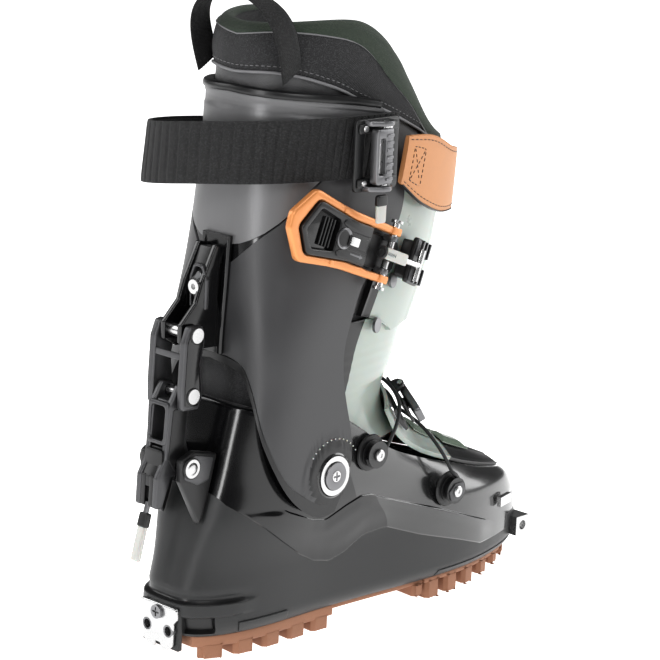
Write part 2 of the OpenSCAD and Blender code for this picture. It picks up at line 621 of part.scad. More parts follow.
// ---------------------------------------------------------------- top strap
strap_mid = [[-86, 280], [-62, 271], [-40, 262], [0, 257], [60, 262], [100, 270], [150, 277], [180, 284],
    [215, 288], [266, 289]];
function strap_line(a) = track(strap_mid, a);
function strap_point(a, h, lift) = let(z = strap_line(a) + h, q = cuff_point(a, z, 0),
    r = norm([q[0] - track(cuff_mid, z), q[1]]))
  [track(cuff_mid, z) + cos(a) * (r + lift), sin(a) * (r + lift), z];
rear_gap = [[96, 1], [120, 11], [145, 28], [165, 24], [190, 11], [220, 4], [266, 1.5]];
module strap_rear() {
  n = 36;
  color("black") plate(
    [for (v = [-1, 0, 1]) [for (k = [0:n]) let(a = 100 + 166 * k / n) strap_point(a, v * strap_w / 2,
        0.6 + strap_t + track(rear_gap, a))]],
    [for (v = [-1, 0, 1]) [for (k = [0:n]) let(a = 100 + 166 * k / n) strap_point(a, v * strap_w / 2,
        0.6 + track(rear_gap, a))]]);
}
// Half height of the front strap along its length
strap_half = [[-86, 13], [-62, 19], [-30, 17.5], [20, 15], [98, 15]];
module strap_front() {
  n = 27;
  color("peru") plate(
    [for (v = [-1, 0, 1]) [for (k = [0:n]) let(a = -86 + 184 * k / n) strap_point(a,
        v * track(strap_half, a) - 1, 4 + strap_t)]],
    [for (v = [-1, 0, 1]) [for (k = [0:n]) let(a = -86 + 184 * k / n) strap_point(a,
        v * track(strap_half, a) - 1, 4)]]);
}
module strap_buckle() {
  color("dimgray") on_side(strap_cam_at, 0) difference() {
    union() {
      translate([-17, -20, -2]) cube([34, 40, 2.4]);
      for (s = [-1, 1])
        translate([-11, s * 18 - 1.5, 0]) cube([18, 3, 10]);
    }
    translate([-10, -12, -3]) cube([20, 24, 4]);
    translate([0, -22, 6]) rotate([-90, 0, 0]) cylinder(h = 44, r = 2 + fit, $fn = round_fn);
  }
}
module strap_cam() {
  color("silver") on_side(strap_cam_at, 0) {
    translate([0, -19.6, 6]) rotate([-90, 0, 0]) cylinder(h = 39.2, r = 2, $fn = round_fn);
    difference() {
      translate([-9, -15.5, 3.4]) cube([13, 31, 6]);
      translate([-7, -10, 6]) cube([5, 20, 5]);
    }
  }
}
module strap_tab() {
  color("white") on_side(strap_cam_at, 0) {
    translate([-6, -31, 6.3]) cube([7, 4.1, 1.8]);
    translate([-6.5, -27, 5.8]) cube([8, 5.6, 2.8]);
  }
}

// ---------------------------------------------------------------- cuff buckle
// Rear end of the rod: forward of the hinge, and outward of it
rod_at = [-12, 5.6];
module buckle_base() {
  color("black") on_side(buckle_at, buckle_tilt) difference() {
    union() {
      translate([-46, -10, -6.7]) cube([58, 20, 2.7]);
      for (s = [-1, 1])
        translate([-3.8, s * 9.4 - 1.6, -4.2]) cube([7.6, 3.2, 7.2]);
    }
    translate([0, -20, 0]) rotate([-90, 0, 0]) cylinder(h = 40, r = 2 + fit / 2, $fn = round_fn);
  }
}
module buckle_pin() {
  color("silver") on_side(buckle_at, buckle_tilt) {
    translate([0, -19.6, 0]) rotate([-90, 0, 0]) cylinder(h = 39.2, r = 2, $fn = round_fn);
    for (s = [-1, 1])
      translate([0, s * 19.2, 0]) rotate([-90, 0, 0]) cylinder(h = 1.6, r = 3.4, center = true,
          $fn = round_fn);
  }
}
module buckle_lever() {
  color("darkorange") on_side(buckle_at, buckle_tilt) difference() {
    translate([0, 0, -3.4]) linear_extrude(height = 4.8) difference() {
      polygon([[4, -16], [4, -11.6], [-6, -11.6], [-6, 11.6], [4, 11.6], [4, 16], [-34, 16.5], [-70, 20.5],
        [-84, 4], [-83, -5], [-70, -20.5], [-34, -16.5]]);
      polygon([[-18, -11.5], [-34, -11.5], [-67, -15.5], [-77, -2], [-67, 15.5], [-34, 11.5], [-18, 11.5]]);
    }
    translate([0, -22, 0]) rotate([-90, 0, 0]) cylinder(h = 44, r = 2 + fit, $fn = round_fn);
  }
}
module buckle_insert() {
  color("black") on_side(buckle_at, buckle_tilt) difference() {
    translate([0, 0, -1.6]) linear_extrude(height = 4.6)
      polygon([[-20, -11.3], [-34, -11.3], [-66.8, -15.3], [-76.6, -2], [-66.8, 15.3], [-34, 11.3],
          [-20, 11.3]]);
    translate([-60, -6, 1]) cube([30, 12, 4]);
  }
}
module buckle_rod() {
  color("silver") on_side(buckle_at, buckle_tilt) {
    translate([rod_at[0], 0, rod_at[1]]) rotate([0, 90, 0]) cylinder(h = 34, r = 1.8, $fn = round_fn);
    translate([21.4, -9, rod_at[1]]) rotate([-90, 0, 0]) cylinder(h = 18, r = 1.8, $fn = round_fn);
  }
}
module buckle_barrel() {
  color("black") on_side(buckle_at, buckle_tilt) translate([rod_at[0], 0, rod_at[1]]) rotate([0, 90, 0])
      difference() {
    cylinder(h = 9, r = 3.8, $fn = round_fn);
    translate([0, 0, -1]) cylinder(h = 18, r = 1.8 + fit, $fn = round_fn);
  }
}
module buckle_ladder() {
  color("black") on_side([53, -57.4, 218], buckle_tilt) rotate([0, 24, 0]) {
    translate([-6, -11, -10.8]) cube([14, 22, 6.9]);
    translate([-9, -13, -4]) cube([22, 26, 3]);
    for (k = [0:2])
      translate([-7 + 7 * k, -12, -1.1]) cube([2.4, 24, 3]);
  }
}

lower_shell();
heel_tread();
arch_tread();
forefoot_tread();
heel_insert();
heel_insert_screws();
toe_insert();
toe_clips();
boot_board();
liner_foot();
footbed();
instep_tongue();
instep_plates();
instep_strap();
instep_buckle_base();
instep_lever();
pulley_brackets();
pulley_rear_outer();
pulley_front_outer();
pulley_rear_inner();
pulley_front_inner();
pulley_axles();
lace_cable();
link_bracket();
link_pin();
pivot_bushes();
cuff_shell();
cuff_spine();
cuff_rim();
pivot_rings();
pivot_screws();
lean_bracket();
lean_slot_plate();
lean_bolt();
frame_axle();
shin_tongue();
tongue_rivets();
liner_upper();
liner_collar();
pull_loop();
strap_rear();
strap_front();
strap_buckle();
strap_cam();
strap_tab();
buckle_base();
buckle_pin();
buckle_ladder();
buckle_lever();
buckle_insert();
buckle_rod();
buckle_barrel();
walk_lever();
lock_pin();
lock_frame();
frame_pin_caps();
lock_spring();
lever_tab();
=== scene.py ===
"""Looks of the ski touring boot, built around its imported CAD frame."""
import math

import bmesh
import bpy
import numpy as np
from mathutils import Matrix, Vector


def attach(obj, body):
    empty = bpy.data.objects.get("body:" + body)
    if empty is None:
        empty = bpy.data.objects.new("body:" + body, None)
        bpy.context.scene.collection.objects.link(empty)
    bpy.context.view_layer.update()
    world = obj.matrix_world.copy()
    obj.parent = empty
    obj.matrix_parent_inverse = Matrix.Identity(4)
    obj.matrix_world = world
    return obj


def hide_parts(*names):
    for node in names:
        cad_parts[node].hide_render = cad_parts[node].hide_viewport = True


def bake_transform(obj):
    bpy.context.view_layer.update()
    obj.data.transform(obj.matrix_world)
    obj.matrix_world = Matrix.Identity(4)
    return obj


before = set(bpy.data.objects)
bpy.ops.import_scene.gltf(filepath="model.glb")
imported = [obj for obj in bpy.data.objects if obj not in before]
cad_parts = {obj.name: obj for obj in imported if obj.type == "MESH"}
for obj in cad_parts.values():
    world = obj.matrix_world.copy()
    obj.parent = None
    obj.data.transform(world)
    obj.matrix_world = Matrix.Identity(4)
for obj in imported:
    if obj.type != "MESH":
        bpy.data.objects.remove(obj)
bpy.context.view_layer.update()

MM = 0.001
IN_PLACE = Matrix.Identity(4)
SKY_LIGHT = 0.12
BACKDROP_WHITE = 1.0
FLOOR_GLOW = 0.95

# ------------------------------------------------------------ camera, light and floor
CAM_AT = Vector((-1.0133, -0.9978, 0.5326))
CAM_AZ, CAM_EL, CAM_ROLL = (math.radians(v) for v in (-46.638, 14.058, 2.303))
CAM_LENS = 140.8


def set_camera():
    back = Vector((math.sin(CAM_AZ) * math.cos(CAM_EL), -math.cos(CAM_AZ) * math.cos(CAM_EL),
                   math.sin(CAM_EL)))
    right = Vector((math.cos(CAM_AZ), math.sin(CAM_AZ), 0))
    up = back.cross(right)
    c, s = math.cos(CAM_ROLL), math.sin(CAM_ROLL)
    cols = (right * c + up * s, up * c - right * s, back)
    cam = bpy.data.objects.new("camera", bpy.data.cameras.new("camera"))
    cam.data.lens = CAM_LENS
    cam.data.sensor_width = 36
    m = Matrix.Identity(4)
    for j, col in enumerate(cols):
        for i in range(3):
            m[i][j] = col[i]
    cam.matrix_world = Matrix.Translation(CAM_AT) @ m
    bpy.context.scene.collection.objects.link(cam)
    bpy.context.scene.camera = cam


def area_light(name, at, target, size, power):
    light = bpy.data.lights.new(name, "AREA")
    light.shape = "RECTANGLE"
    light.size, light.size_y = size
    light.energy = power
    o = bpy.data.objects.new(name, light)
    o.location = at
    o.rotation_euler = (Vector(target) - Vector(at)).to_track_quat("-Z", "Y").to_euler()
    bpy.context.scene.collection.objects.link(o)


set_camera()
scene = bpy.context.scene
scene.view_settings.view_transform = "Standard"
scene.view_settings.look = "Medium High Contrast"
world = bpy.data.worlds.new("studio")
scene.world = world
world.use_nodes = True
sky = world.node_tree
sky.nodes["Background"].inputs[0].default_value = (1, 1, 1, 1)
sky.nodes["Background"].inputs[1].default_value = SKY_LIGHT
seen = sky.nodes.new("ShaderNodeBackground")
seen.inputs[1].default_value = BACKDROP_WHITE
pick = sky.nodes.new("ShaderNodeMixShader")
ray = sky.nodes.new("ShaderNodeLightPath")
sky.links.new(ray.outputs["Is Camera Ray"], pick.inputs[0])
sky.links.new(sky.nodes["Background"].outputs[0], pick.inputs[1])
sky.links.new(seen.outputs[0], pick.inputs[2])
sky.links.new(pick.outputs[0], sky.nodes["World Output"].inputs[0])
LIGHTS_AIM_AT = (0.03, 0, 0.17)
# each light's name, place, size and power
LIGHTS = [("key", (-0.9, -1.5, 1.5), (0.9, 0.9), 13), ("side", (1.5, -0.8, 0.9), (0.8, 1.6), 17),
          ("rim", (-0.9, 1.4, 1.1), (0.8, 1.2), 10), ("strip", (-1.5, -0.1, 0.7), (0.2, 1.4), 9),
          ("top", (0.1, 0.1, 1.7), (0.8, 0.8), 7)]
for light_name, light_at, light_size, light_power in LIGHTS:
    area_light(light_name, light_at, LIGHTS_AIM_AT, light_size, light_power)


# ------------------------------------------------------------ shapes shared with the CAD frame
def track(rows, v):
    """Smooth curve through a table of (position, value) rows."""
    r = np.array(rows, float)
    x, y = r[:, 0], r[:, 1]
    n = len(x)
    m = np.array([(y[min(i + 1, n - 1)] - y[max(i - 1, 0)]) / (x[min(i + 1, n - 1)] - x[max(i - 1, 0)])
                  for i in range(n)])
    w = np.clip(np.asarray(v, float), x[0], x[-1])
    i = np.clip(np.searchsorted(x, w, side="right") - 1, 0, n - 2)
    h = x[i + 1] - x[i]
    t = (w - x[i]) / h
    return (y[i] * (2 * t**3 - 3 * t * t + 1) + m[i] * h * (t**3 - 2 * t * t + t)
            + y[i + 1] * (3 * t * t - 2 * t**3) + m[i + 1] * h * (t**3 - t * t))


def line(rows, v):
    r = np.array(rows, float)
    return np.interp(v, r[:, 0], r[:, 1])


def smooth(t):
    t = np.clip(t, 0, 1)
    return t * t * (3 - 2 * t)


def step(v, width):
    """0 below 0 and 1 above width, with rounded ends."""
    return smooth(np.asarray(v) / width)


def fold(a):
    a = np.mod(a, 360)
    return np.where(a > 180, 360 - a, a)


PIVOT_Z = 100.6
ANKLE_W = 41.5
CUFF_W = 46.8
CUFF_WALL = 3.4
SHELL_WALL = 3.5
FOAM = 7
SHELL_REAR = [(14, 81), (22, 84), (32, 84), (42, 81.5), (60, 76.5), (80, 71), (102, 64), (132, 57), (158, 51)]
SHELL_FRONT = [(14, 200), (22, 205), (32, 206), (42, 204), (52, 200), (60, 193), (66, 181), (72, 164),
               (80, 147), (90, 124), (102, 98), (116, 80), (132, 64), (158, 54)]
SIDE_OUTER = [(-84, 33), (-50, 35), (10, 35), (50, 37.5), (107, 43.5), (140, 45), (177, 42), (206, 37)]
SIDE_INNER = [(-84, 33), (-50, 35), (10, 34), (50, 36), (107, 44), (140, 46.5), (177, 42), (206, 36)]
SHELL_EDGE = [(0, 62), (10, 63), (20, 67), (30, 74.5), (45, 88), (60, 105.5), (75, 124), (90, 135),
              (130, 141),
              (180, 145)]


def shell_point(a, z, inset):
    a = np.radians(a)
    c, s = np.cos(a), np.sin(a)
    x = np.where(c >= 0, (track(SHELL_FRONT, z) - inset) * np.abs(c)**0.75,
                 -(track(SHELL_REAR, z) - inset) * np.abs(c)**0.75)
    sole = np.where(s < 0, track(SIDE_OUTER, x), track(SIDE_INNER, x))
    t = smooth((z - 48) / 40)
    low = 1 - 0.1 * np.clip((22 - z) / 8, 0, 1)**2
    w = (1 - t) * sole * low + t * ANKLE_W
    return np.stack([x, np.where(s < 0, -1, 1) * (w - inset) * np.abs(s)**0.6, z + 0 * x], -1)


CUFF_MID = [(70, 0), (165, 2), (215, 18), (280, 32), (330, 38)]
CUFF_BACK = [(70, 54), (125, 54), (165, 54), (215, 68), (280, 77), (330, 81)]
CUFF_FORE = [(70, 62), (125, 66), (165, 84), (215, 86), (280, 80), (330, 76)]
CUFF_HALF = [(70, 0), (165, 0.8), (215, 3.4), (280, 5.6), (330, 6.4)]
CUFF_POWER = [(70, 7), (125, 6.5), (165, 5), (215, 3), (280, 2.4), (330, 2.3)]
CUFF_LOW = [(0, 120), (60, 110), (75, 84), (90, 78), (105, 78), (120, 87), (130, 100), (140, 124), (148, 149),
            (156, 163), (180, 168)]
CUFF_HIGH = [(0, 296), (80, 302), (100, 307), (140, 313), (180, 316)]
CUFF_OPEN = [(78, 90), (100, 74), (120, 73), (165, 86), (190, 90), (212, 90), (235, 73), (262, 73), (285, 90),
             (306, 106)]


def oval(a, z, l, w, p):
    a = np.radians(a)
    r = ((np.abs(np.cos(a)) / l)**p + (np.abs(np.sin(a)) / w)**p)**(-1 / p)
    return np.stack([track(CUFF_MID, z) + r * np.cos(a), r * np.sin(a), z + 0 * r], -1)


def cuff_point(a, z, inset):
    l = np.where(np.cos(np.radians(a)) >= 0, track(CUFF_FORE, z), track(CUFF_BACK, z)) - inset
    return oval(a, z, l, CUFF_W + track(CUFF_HALF, z) - inset, track(CUFF_POWER, z))


def shin_w(z):
    return CUFF_W + track(CUFF_HALF, z) - CUFF_WALL - 0.7


def shin_point(a, z, inset):
    return oval(a, z, track(CUFF_FORE, z) + 1 - inset, shin_w(z) - inset, 2.5)


def upper_point(a, z, inset):
    l = np.where(np.cos(np.radians(a)) >= 0, track(CUFF_FORE, z) - 2.4,
                 track(CUFF_BACK, z) - CUFF_WALL - 0.8) - inset
    return oval(a, z, l, shin_w(z) - 3.4 - inset, 2.4)


UPPER_EDGE = [(0, 284), (25, 287), (45, 297), (70, 322), (95, 344), (125, 355), (180, 353)]
STRAP_MID = [(-86, 280), (-62, 271), (-40, 262), (0, 257), (60, 262), (100, 270), (150, 277), (180, 284),
             (215, 288),
             (266, 289)]
REAR_GAP = [(96, 1), (120, 11), (145, 28), (165, 24), (190, 11), (220, 4), (266, 1.5)]
STRAP_W, STRAP_T = 34, 3.2


def strap_point(a, h, lift):
    z = track(STRAP_MID, a) + h
    q = cuff_point(a, z, 0)
    r = np.hypot(q[..., 0] - track(CUFF_MID, z), q[..., 1]) + lift
    t = np.radians(a)
    return np.stack([track(CUFF_MID, z) + np.cos(t) * r, np.sin(t) * r, z + 0 * r], -1)


INSTEP_X = [(0, 178), (0.2, 160), (0.45, 128), (0.7, 98), (0.87, 81), (1, 73)]
INSTEP_Z = [(0, 69), (0.2, 77), (0.45, 90.5), (0.7, 106), (0.87, 121), (1, 137)]
INSTEP_W = [(0, 20), (0.3, 27), (0.7, 33), (1, 38)]
INSTEP_FALL = [(0, 4), (0.3, 9), (0.7, 15), (1, 24)]


def instep_point(t, u, lift):
    k = np.clip(t, 0.03, 0.97)
    lean = np.arctan2(track(INSTEP_Z, k + 0.02) - track(INSTEP_Z, k - 0.02),
                      track(INSTEP_X, k - 0.02) - track(INSTEP_X, k + 0.02))
    down = track(INSTEP_FALL, t) * u * u
    return np.stack([track(INSTEP_X, t) + (lift - down) * np.sin(lean), u * (track(INSTEP_W, t) + lift * 0.4),
                     track(INSTEP_Z, t) + (lift - down) * np.cos(lean)], -1)


# ------------------------------------------------------------ materials
def node(nt, kind, **inputs):
    n = nt.nodes.new(kind)
    for k, v in inputs.items():
        if k.startswith("_"):
            setattr(n, k[1:], v)
        else:
            n.inputs[k.replace("_", " ")].default_value = v
    return n


def material(name, color, rough=0.5, metal=0.0, vary=0.12, vary_scale=60, rough_vary=0.08, grain=900,
             bump=0.15, depth=0.0002, coat=0.0, coat_rough=0.1, sheen=0.0, trans=0.0, sub=0.0, ior=1.5,
             pattern="noise", wear=0.0, spec=0.5, stretch=(1, 1, 1), fleck=None):
    """A procedural finish: colour that varies, roughness that varies, and a fine bump."""
    m = bpy.data.materials.new(name)
    m.use_nodes = True
    nt = m.node_tree
    p = nt.nodes["Principled BSDF"]
    p.inputs["Metallic"].default_value = metal
    p.inputs["IOR"].default_value = ior
    p.inputs["Specular IOR Level"].default_value = spec
    p.inputs["Coat Weight"].default_value = coat
    p.inputs["Coat Roughness"].default_value = coat_rough
    p.inputs["Sheen Weight"].default_value = sheen
    p.inputs["Sheen Roughness"].default_value = 0.4
    p.inputs["Transmission Weight"].default_value = trans
    if sub:
        p.inputs["Subsurface Weight"].default_value = sub
        p.inputs["Subsurface Scale"].default_value = 0.004
    co = node(nt, "ShaderNodeTexCoord")
    mp = node(nt, "ShaderNodeMapping", Scale=stretch)
    nt.links.new(co.outputs["Object"], mp.inputs["Vector"])
    big = node(nt, "ShaderNodeTexNoise", Scale=vary_scale, Detail=5.0, Roughness=0.6)
    nt.links.new(mp.outputs[0], big.inputs["Vector"])
    ramp = node(nt, "ShaderNodeMix", _data_type="RGBA")
    lo = [max(c * (1 - vary), 0) for c in color] + [1]
    hi = [min(c * (1 + vary), 1) for c in color] + [1]
    ramp.inputs[6].default_value = lo
    ramp.inputs[7].default_value = hi
    nt.links.new(big.outputs[0], ramp.inputs[0])
    last = ramp.outputs[2]
    if fleck:
        fine = node(nt, "ShaderNodeTexNoise", Scale=fleck[1], Detail=2.0, Roughness=0.8)
        nt.links.new(mp.outputs[0], fine.inputs["Vector"])
        cut = node(nt, "ShaderNodeMapRange")
        cut.inputs["From Min"].default_value = 0.5
        cut.inputs["From Max"].default_value = 0.62
        nt.links.new(fine.outputs[0], cut.inputs["Value"])
        mixf = node(nt, "ShaderNodeMix", _data_type="RGBA")
        mixf.inputs[7].default_value = list(fleck[0]) + [1]
        nt.links.new(cut.outputs[0], mixf.inputs[0])
        nt.links.new(last, mixf.inputs[6])
        last = mixf.outputs[2]
    if wear:
        geo = node(nt, "ShaderNodeNewGeometry")
        edge = node(nt, "ShaderNodeMapRange")
        edge.inputs["From Min"].default_value = 0.52
        edge.inputs["From Max"].default_value = 0.62
        nt.links.new(geo.outputs["Pointiness"], edge.inputs["Value"])
        mul = node(nt, "ShaderNodeMath", _operation="MULTIPLY")
        mul.inputs[1].default_value = wear
        nt.links.new(edge.outputs[0], mul.inputs[0])
        mixw = node(nt, "ShaderNodeMix", _data_type="RGBA")
        mixw.inputs[7].default_value = [min(c * 2 + 0.08, 1) for c in color] + [1]
        nt.links.new(mul.outputs[0], mixw.inputs[0])
        nt.links.new(last, mixw.inputs[6])
        last = mixw.outputs[2]
    nt.links.new(last, p.inputs["Base Color"])
    mr = node(nt, "ShaderNodeMapRange")
    mr.inputs["To Min"].default_value = max(rough - rough_vary, 0.02)
    mr.inputs["To Max"].default_value = min(rough + rough_vary, 1)
    nt.links.new(big.outputs[0], mr.inputs["Value"])
    nt.links.new(mr.outputs[0], p.inputs["Roughness"])
    if pattern == "noise":
        tex = node(nt, "ShaderNodeTexNoise", Scale=grain, Detail=3.0, Roughness=0.6)
        height = tex.outputs[0]
        nt.links.new(mp.outputs[0], tex.inputs["Vector"])
    elif pattern == "leather":
        tex = node(nt, "ShaderNodeTexVoronoi", Scale=grain, _feature="DISTANCE_TO_EDGE")
        height = tex.outputs["Distance"]
        nt.links.new(mp.outputs[0], tex.inputs["Vector"])
    else:
        a = node(nt, "ShaderNodeTexWave", Scale=grain, Distortion=1.5, Detail=1.0, _bands_direction="Z")
        b = node(nt, "ShaderNodeTexWave", Scale=grain, Distortion=1.5, Detail=1.0,
                 _bands_direction="DIAGONAL")
        nt.links.new(mp.outputs[0], a.inputs["Vector"])
        nt.links.new(mp.outputs[0], b.inputs["Vector"])
        mx = node(nt, "ShaderNodeMath", _operation="MAXIMUM")
        nt.links.new(a.outputs["Fac"], mx.inputs[0])
        nt.links.new(b.outputs["Fac"], mx.inputs[1])
        height = mx.outputs[0]
    bp = node(nt, "ShaderNodeBump", Strength=bump, Distance=depth)
    nt.links.new(height, bp.inputs["Height"])
    nt.links.new(bp.outputs[0], p.inputs["Normal"])
    return m


MATTE = material("shell_matte", (0.024, 0.0245, 0.025), 0.42, vary=0.1, grain=1400, bump=0.25, spec=0.4,
                 wear=0.15)
GREY_SATIN = material("shell_satin", (0.014, 0.0142, 0.0146), 0.22, vary=0.1, grain=1400, bump=0.06, coat=0.6,
                      coat_rough=0.1)
GLOSS = material("gloss_black", (0.004, 0.004, 0.0045), 0.17, vary=0.2, rough_vary=0.04, grain=300, bump=0.04,
                 coat=0.25, coat_rough=0.08, spec=0.45)
BAND_GREY = material("band_grey", (0.009, 0.0092, 0.0095), 0.18, vary=0.1, grain=1300, bump=0.05, coat=0.6,
                     coat_rough=0.08)
SATIN_BLACK = material("satin_black", (0.007, 0.007, 0.0075), 0.33, vary=0.15, grain=1200, bump=0.15,
                       wear=0.2)
GRAPHITE = material("graphite_panel", (0.15, 0.15, 0.153), 0.36, metal=0.35, vary=0.08, grain=1600, bump=0.2,
                    stretch=(1, 1, 0.25))
CUFF_GREY = material("cuff_grey", (0.045, 0.045, 0.047), 0.4, metal=0.1, vary=0.08, grain=1500, bump=0.2,
                     wear=0.12)
GUM = material("gum_rubber", (0.28, 0.135, 0.078), 0.72, vary=0.12, vary_scale=40, grain=1100, bump=0.45,
               depth=0.0003, sheen=0.1, wear=0.1)
STEEL = material("bright_steel", (0.52, 0.52, 0.52), 0.27, metal=1.0, vary=0.06, grain=1300, bump=0.12)
DARK_STEEL = material("dark_steel", (0.16, 0.16, 0.165), 0.36, metal=0.9, vary=0.1, grain=1300, bump=0.15,
                      wear=0.3)
PLATE_GREY = material("link_grey", (0.07, 0.07, 0.073), 0.34, metal=0.6, vary=0.1, grain=1400, bump=0.15,
                      wear=0.35)
ORANGE = material("orange_anodised", (0.62, 0.25, 0.085), 0.36, metal=0.35, vary=0.06, grain=1500, bump=0.15,
                  wear=0.15, coat=0.15)
BLACK_PART = material("moulded_black", (0.008, 0.008, 0.0085), 0.4, vary=0.15, grain=1200, bump=0.2,
                      wear=0.25)
WEBBING = material("webbing_black", (0.006, 0.006, 0.0063), 0.75, vary=0.25, grain=420, bump=0.6,
                   depth=0.0003,
                   sheen=0.05, pattern="weave", fleck=((0.02, 0.02, 0.021), 900))
FABRIC = material("liner_fabric", (0.015, 0.015, 0.016), 0.85, vary=0.2, grain=520, bump=0.6, depth=0.0003,
                  sheen=0.15, pattern="weave", fleck=((0.045, 0.045, 0.047), 1500))
OLIVE = material("liner_olive", (0.02, 0.03, 0.02), 0.85, vary=0.2, grain=520, bump=0.6, depth=0.0003,
                 sheen=0.15, pattern="weave", fleck=((0.04, 0.055, 0.037), 1500))
LINING = material("liner_satin", (0.06, 0.06, 0.062), 0.45, vary=0.15, grain=700, bump=0.4, depth=0.0002,
                  sheen=0.15, pattern="weave", stretch=(1, 1, 0.6))
PIPING = material("piping", (0.16, 0.16, 0.165), 0.6, vary=0.15, grain=1600, bump=0.4, sheen=0.2)
THREAD = material("thread", (0.05, 0.035, 0.025), 0.7, vary=0.2, grain=2500, bump=0.5, sheen=0.2)
LEATHER = material("tan_strap", (0.48, 0.22, 0.09), 0.55, vary=0.1, vary_scale=90, grain=900, bump=0.25,
                   depth=0.0002, pattern="leather", sheen=0.1)
MILKY = material("milky_plastic", (0.36, 0.41, 0.37), 0.3, vary=0.07, vary_scale=30, grain=1000, bump=0.1,
                 trans=0.15, sub=0.3, coat=0.25)
GREEN_EDGE = material("green_plastic", (0.16, 0.21, 0.16), 0.25, vary=0.1, grain=900, bump=0.1, trans=0.2,
                      coat=0.4)
WHITE = material("white_tab", (0.5, 0.5, 0.47), 0.4, vary=0.05, grain=1000, bump=0.15, trans=0.15, sub=0.2)
FOOTBED = material("footbed_fabric", (0.06, 0.075, 0.045), 0.85, vary=0.25, grain=600, bump=0.6, depth=0.0003,
                   sheen=0.3, pattern="weave")
CORD = material("cable_black", (0.012, 0.012, 0.013), 0.45, vary=0.2, grain=900, bump=0.5, pattern="weave")
FLOOR = material("floor", (0.88, 0.88, 0.88), 0.7, vary=0.01, vary_scale=3, grain=200, bump=0.02)
FLOOR.node_tree.nodes["Principled BSDF"].inputs["Emission Color"].default_value = (1, 1, 1, 1)
FLOOR.node_tree.nodes["Principled BSDF"].inputs["Emission Strength"].default_value = FLOOR_GLOW

SMOOTH_ANGLE = math.radians(32)


# ------------------------------------------------------------ mesh helpers
def finish_mesh(obj, mats, body, replaces=(), bevel=0.0, angle=SMOOTH_ANGLE):
    me = obj.data
    for m in mats if isinstance(mats, (list, tuple)) else [mats]:
        me.materials.append(m)
    me.shade_smooth()
    me.set_sharp_from_angle(angle=angle)
    if bevel:
        b = obj.modifiers.new("edge", "BEVEL")
        b.width = bevel * MM
        b.segments = 2
        b.limit_method = "ANGLE"
        b.angle_limit = math.radians(40)
        b.harden_normals = True
    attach(obj, body)
    if replaces:
        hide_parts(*replaces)
    return obj


def mesh_object(name, verts, faces):
    me = bpy.data.meshes.new(name)
    me.from_pydata([tuple(float(c) * MM for c in v) for v in verts], [], faces)
    me.validate()
    obj = bpy.data.objects.new(name, me)
    bpy.context.scene.collection.objects.link(obj)
    return obj


def solid_grid(name, outer, inner, closed, face_mat=None):
    """A wall between two (rows, columns, 3) grids, with its rims closed."""
    m, n = outer.shape[:2]
    k = inner.shape[0]
    verts = np.concatenate([outer.reshape(-1, 3), inner.reshape(-1, 3)])
    s = m * n
    faces, mats = [], []
    cols = n if closed else n - 1
    for r in range(m - 1):
        for c in range(cols):
            d = (c + 1) % n
            faces.append((r * n + c, r * n + d, (r + 1) * n + d, (r + 1) * n + c))
            mats.append(int(face_mat[r, c]) if face_mat is not None else 0)
    inside = 0 if face_mat is None else int(face_mat[m - 2, 0])
    for r in range(k - 1):
        for c in range(cols):
            d = (c + 1) % n
            faces.append((s + r * n + c, s + (r + 1) * n + c, s + (r + 1) * n + d, s + r * n + d))
            mats.append(inside)
    for ro, ri in ((m - 1, k - 1), (0, 0)):
        for c in range(cols):
            d = (c + 1) % n
            a, b, e, f = ro * n + c, ro * n + d, s + ri * n + d, s + ri * n + c
            faces.append((a, b, e, f) if ro else (a, f, e, b))
            mats.append(int(face_mat[min(ro, m - 2), c]) if face_mat is not None else 0)
    if not closed:
        for side, c in ((0, 0), (1, n - 1)):
            for r in range(min(m, k) - 1):
                a, b, e, f = r * n + c, (r + 1) * n + c, s + (r + 1) * n + c, s + r * n + c
                faces.append((a, b, e, f) if side == 0 else (a, f, e, b))
                mats.append(int(face_mat[r, min(c, n - 2)]) if face_mat is not None else 0)
    obj = mesh_object(name, verts, faces)
    if face_mat is not None and len(obj.data.polygons) == len(mats):
        obj.data.polygons.foreach_set("material_index", mats)
    bm = bmesh.new()
    bm.from_mesh(obj.data)
    bmesh.ops.recalc_face_normals(bm, faces=bm.faces)
    bm.to_mesh(obj.data)
    bm.free()
    return obj


def corners(points, radius, steps=5):
    """A closed outline with its corners rounded."""
    out = []
    n = len(points)
    for i in range(n):
        p, q, r = (Vector(points[(i + k) % n][:2]) for k in (-1, 0, 1))
        rad = points[i][2] if len(points[i]) > 2 else radius
        u, v = (p - q), (r - q)
        lu, lv = u.length, v.length
        u.normalize()
        v.normalize()
        half = math.acos(max(-1, min(1, u.dot(v)))) / 2
        if rad <= 0 or half > math.radians(88):
            out.append(tuple(q))
            continue
        cut = min(rad / math.tan(half), 0.46 * lu, 0.46 * lv)
        a, b = q + u * cut, q + v * cut
        for k in range(steps + 1):
            t = k / steps
            out.append(tuple(a * (1 - t)**2 + q * 2 * t * (1 - t) + b * t * t))
    return out


